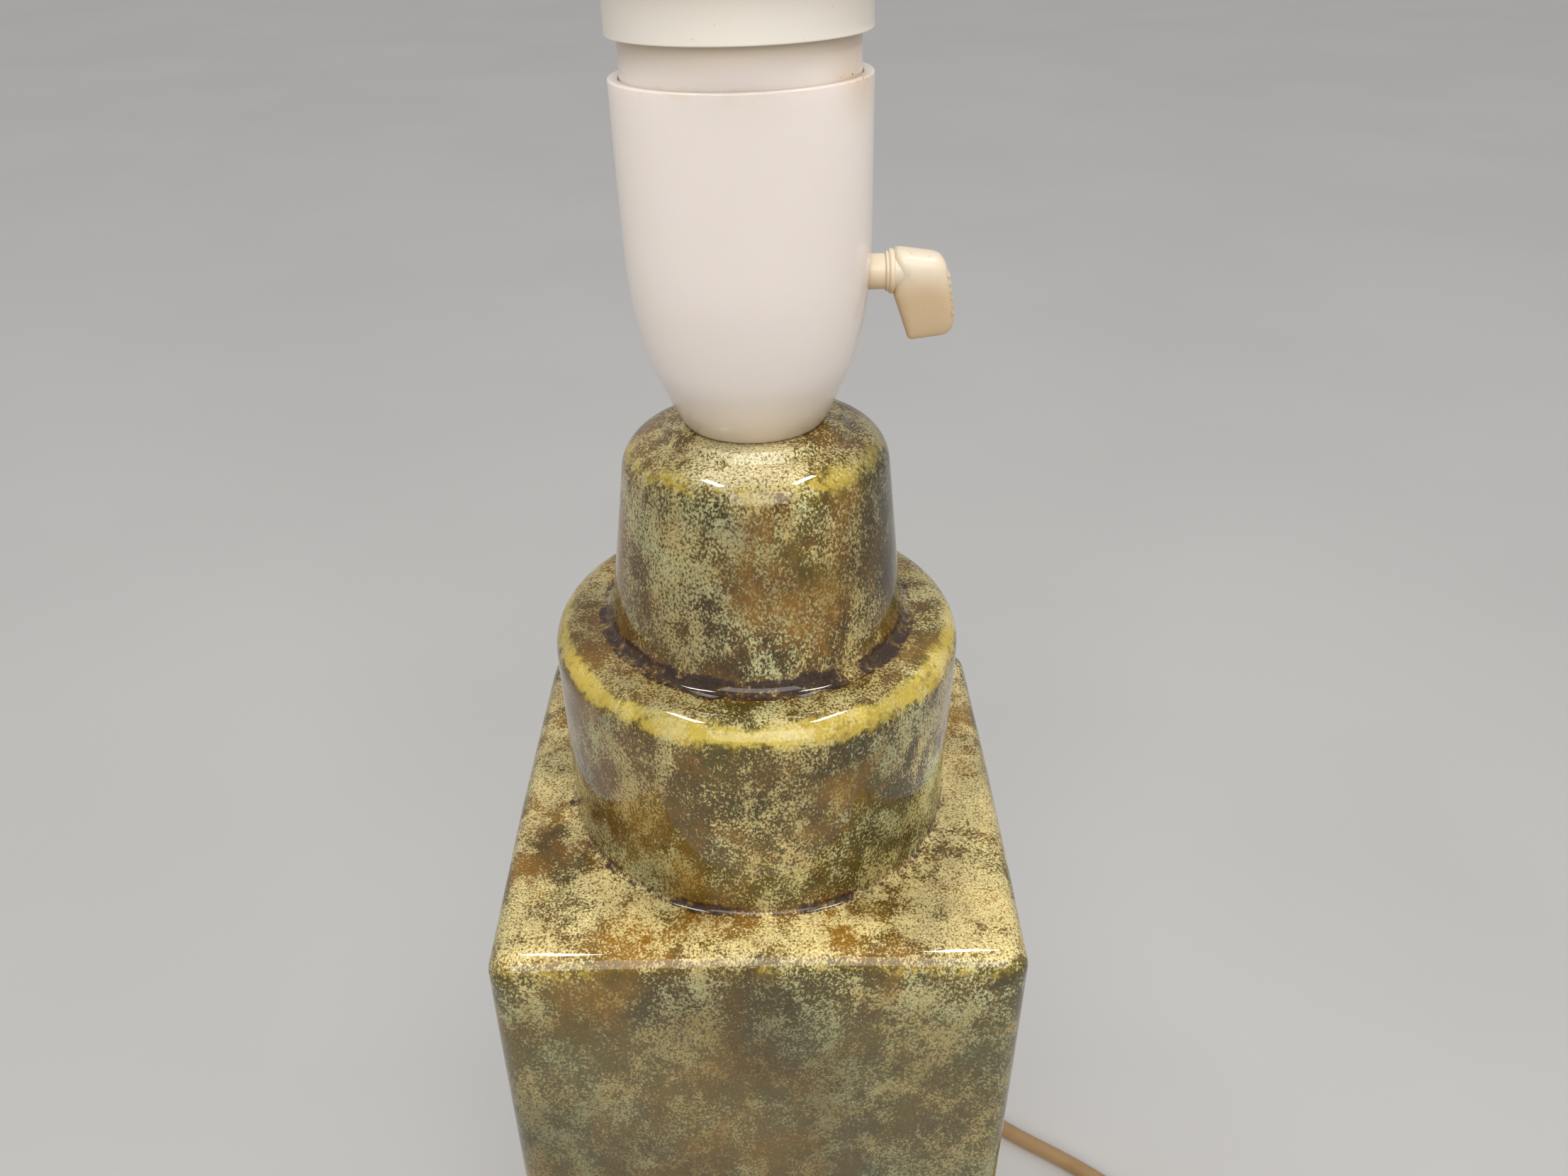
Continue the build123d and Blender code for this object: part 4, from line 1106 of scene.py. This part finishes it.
def buildTie():
    k = tie
    a = math.radians(k["angle"])
    out, along, up = Vector((math.cos(a), math.sin(a), 0)), Vector((-math.sin(a), math.cos(a),
        0)), Vector((0, 0, 1))
    centre = Vector((0.104, -0.014, 0)) + out * 0.0285
    place = framed(out, up, -along, centre)

    def loop(grow):
        w, t, r = k["halfWidth"] + 0.00016 + grow, k["top"] + 0.0001 + grow, k["corner"] + grow
        low = 0.0003 - grow * 0.3
        corners = [((w - r, t - r), 0), ((-w + r, t - r), 90), ((-w + r, low + r), 180),
                   ((w - r, low + r), 270)]
        return [p for c, s in corners for p in arc(c, r, s, s + 90, 8)]

    inner, outer = loop(0.0), loop(k["thick"])
    n = len(inner)
    half = k["wide"] / 2
    soft = 0.00018
    rings = [[(x, y, -half) for x, y in inner], [(x, y, half) for x, y in inner],
             [(x * (1 - soft * 20), y, half) for x, y in outer], [(x, y, half - soft) for x, y in outer],
             [(x, y, -half + soft) for x, y in outer], [(x * (1 - soft * 20), y, -half) for x, y in outer]]
    verts = [place @ Vector(v) for r in rings for v in r]
    faces = [(i * n + a, i * n + (a + 1) % n, (i + 1) % 6 * n + (a + 1) % n, (i + 1) % 6 * n + a)
             for i in range(6) for a in range(n)]
    obj = makeObject("coilTie", verts, faces)
    pointOut(obj)
    return obj


coilTie = finish(buildTie(), wireWrap, ["coil_tie"])

plug = {
    "start": 0.102, "y": -0.071, "z": 0.00695,
    # distance from the sleeve, half width, half height
    "rows": [(0.0, 0.0045, 0.0042), (0.0006, 0.0058, 0.0053), (0.002, 0.0068, 0.0058),
             (0.006, 0.0090, 0.0062),
             (0.011, 0.0122, 0.0066), (0.016, 0.0144, 0.0068), (0.020, 0.0153, 0.0068),
             (0.026, 0.0165, 0.0068),
             (0.031, 0.0173, 0.0068), (0.0330, 0.0174, 0.0067), (0.0337, 0.0170, 0.0063),
             (0.0340, 0.0162, 0.0056)],
    "square": 3.4, "ribCount": 6, "ribRadius": 0.00045, "ribLength": 0.0150, "ribFrom": 0.0180,
    "ribTo": 0.0285, "ribHeight": 0.0066,
}


def buildPlug():
    k = plug
    verts, n = [], 56
    for d, w, h in k["rows"]:
        verts += [(k["start"] - d, k["y"] + y, k["z"] + z)
                  for y, z in [(y, z * h / w) for y, z in superRow(-w, w, w, k["square"], n)]]
    last = len(k["rows"]) - 1
    faces = [(i * n + a, i * n + (a + 1) % n, (i + 1) * n + (a + 1) % n,
              (i + 1) * n + a) for i in range(last) for a in range(n)]
    verts += [(k["start"], k["y"], k["z"]), (k["start"] - k["rows"][-1][0], k["y"], k["z"])]
    faces += [(a, (a + 1) % n, len(verts) - 2) for a in range(n)]
    faces += [(last * n + a, last * n + (a + 1) % n, len(verts) - 1) for a in range(n)]
    obj = makeObject("plugBody", verts, faces)
    pointOut(obj)
    runTree(obj, levelRibs, {"Length": k["ribLength"], "Rib": k["ribRadius"], "Count": k["ribCount"],
                             "Finish": plugPlastic,
                             "From": (k["start"] - k["ribFrom"], k["y"], k["z"] + k["ribHeight"]),
                             "To": (k["start"] - k["ribTo"], k["y"], k["z"] + k["ribHeight"])})
    return obj


plugBody = finish(buildPlug(), plugPlastic, ["plug_body"], angle=50)
print("plug made")

sleeve = {"length": 0.014, "thin": 0.0034, "thick": 0.0046, "bore": 0.00254, "grooves": 5,
          "pinLength": 0.019, "pinRadius": 0.002,
          "pinSleeve": 0.010, "spacing": 0.0186}


def buildSleeve():
    # a bend relief: a cone cut by rounded grooves
    k = sleeve
    profile = []
    steps = 90
    for i in range(steps + 1):
        t = i / steps
        wave = math.sin(math.pi * k["grooves"] * t * 1.0) ** 2
        groove = 0.00055 * smooth((wave - 0.35) / 0.4) if 0.06 < t < 0.94 else 0.0
        profile.append((k["thin"] + (k["thick"] - k["thin"]) * t - groove, k["length"] * t))
    profile = [(k["bore"], 0.0), (k["thin"] - 0.0005, 0.0)] + profile[1:] + [(k["bore"], k["length"])]
    place = framed(Vector((0, 1, 0)), Vector((0, 0, -1)), Vector((-1, 0, 0)),
                   Vector((plug["start"] + k["length"], plug["y"], plug["z"])))
    return turned("plugSleeve", profile, place, 48)


plugSleeve = finish(buildSleeve(), plugPlastic, ["plug_sleeve"], angle=50)


def buildPins():
    # a slightly thinner root and a rounded tip
    k = sleeve
    face = plug["start"] - plug["rows"][-1][0]
    shells = []
    for side in (1, -1):
        place = framed(Vector((0, 1, 0)), Vector((0, 0, -1)), Vector((-1, 0, 0)),
                       Vector((face, plug["y"] + side * k["spacing"] / 2, plug["z"])))
        r, end = k["pinRadius"], k["pinLength"]
        tip = arc((r - 0.0016, end - 0.0016), 0.0016, 0, 90, 8)
        profile = [(0.0, 0.00002), (r - 0.0001, 0.00002), (r - 0.0001, k["pinSleeve"])] + [(r,
            k["pinSleeve"] + 0.0001)] + tip + [(0.0, end)]
        shells.append(turned("pin", profile, place, 40, closed=False))
    obj = joinShells(*shells)
    obj.name = "plugPins"
    return obj


plugPins = finish(buildPins(), pinMetal, ["plug_pins"], angle=50)

# pieces that keep their own shape and take a finish
finishes = {
    "cord_bush": bushPlastic, "cord_stop": bushPlastic, "cord_grip": insulator, "contact_block": insulator,
    "switch_frame": insulator, "switch_rotor": insulator, "switch_spindle": knobPlastic, "screw_shell": brass,
    "centre_contact": brass, "side_contact": brass, "terminals": brass, "switch_contacts": brass,
    "switch_spring": steel,
    "rotor_contact": brass, "threaded_tube": steel, "tube_washer": steel, "tube_nut": steel,
    "cup_grub_screw": steel,
    "cord_stop_screws": steel, "cord_grip_screws": steel, "terminal_screws": steel, "inner_cord": cordPlastic,
    "lead_switched": leadBrown, "lead_neutral": leadBlue,
}
for node, material in finishes.items():
    cadNode = frame["nodes"][node]
    cadNode.data.materials.clear()
    cadNode.data.materials.append(material)
print("hidden pieces finished")


def buildFloor():
    floor = makeObject("floor", [(-4, -4, -0.0001), (4, -4, -0.0001), (4, 4, -0.0001), (-4, 4, -0.0001)],
                       [(0, 1, 2, 3)])
    floor.data.materials.append(floorMaterial())


def lightPanel(name, place, size, power, colour, aim):
    light = bpy.data.lights.new(name, "AREA")
    light.shape = "RECTANGLE"
    light.size, light.size_y = size
    light.energy = power
    light.color = colour
    obj = bpy.data.objects.new(name, light)
    obj.location = place
    obj.rotation_euler = (Vector(aim) - Vector(place)).to_track_quat("-Z", "Y").to_euler()
    bpy.context.scene.collection.objects.link(obj)
    obj.visible_camera = False
    return obj


studio = {
    "lamps": [(-0.104, -0.036, 0.50), (0.100, -0.036, 0.50)], "lampSize": (0.080, 0.022), "lampPower": 0.15,
    "fillPlace": (0.05, -1.5, 1.5), "fillSize": (1.7, 1.3), "fillPower": 21,
    "worldColour": (0.80, 0.80, 0.81), "worldPower": 0.60,
}


def buildLights():
    k = studio
    for i, place in enumerate(k["lamps"]):
        lightPanel("lamp" + str(i + 1), place, k["lampSize"], k["lampPower"], (1.0, 0.975, 0.94),
                   (0, 0, 0.30))
    lightPanel("fill", k["fillPlace"], k["fillSize"], k["fillPower"], (1.0, 0.98, 0.96), (0, 0, 0.25))
    world = bpy.data.worlds.new("softRoom")
    bpy.context.scene.world = world
    world.use_nodes = True
    surround = world.node_tree.nodes["Background"]
    surround.inputs[0].default_value = (*k["worldColour"], 1)
    surround.inputs[1].default_value = k["worldPower"]
    bpy.context.scene.view_settings.view_transform = "Standard"


view = {"place": (0.001985, -0.209355, 0.3985), "pan": 0.90, "down": 32.78, "roll": 0.13, "lens": 29.295}


def buildCamera():
    k = view
    pan, down, roll = (math.radians(k[a]) for a in ("pan", "down", "roll"))
    forward = Vector((math.sin(pan) * math.cos(down), math.cos(pan) * math.cos(down), -math.sin(down)))
    right = Vector((math.cos(pan), -math.sin(pan), 0))
    up = right.cross(forward)
    across = right * math.cos(roll) + up * math.sin(roll)
    upright = up * math.cos(roll) - right * math.sin(roll)
    camera = bpy.data.objects.new("camera", bpy.data.cameras.new("camera"))
    camera.data.lens = k["lens"]
    camera.data.sensor_width = 36
    camera.data.clip_start = 0.01
    camera.matrix_world = framed(across, upright, -forward, Vector(k["place"]))
    bpy.context.scene.collection.objects.link(camera)
    bpy.context.scene.camera = camera


buildFloor()
buildLights()
buildCamera()
print("floor, lights and camera made")
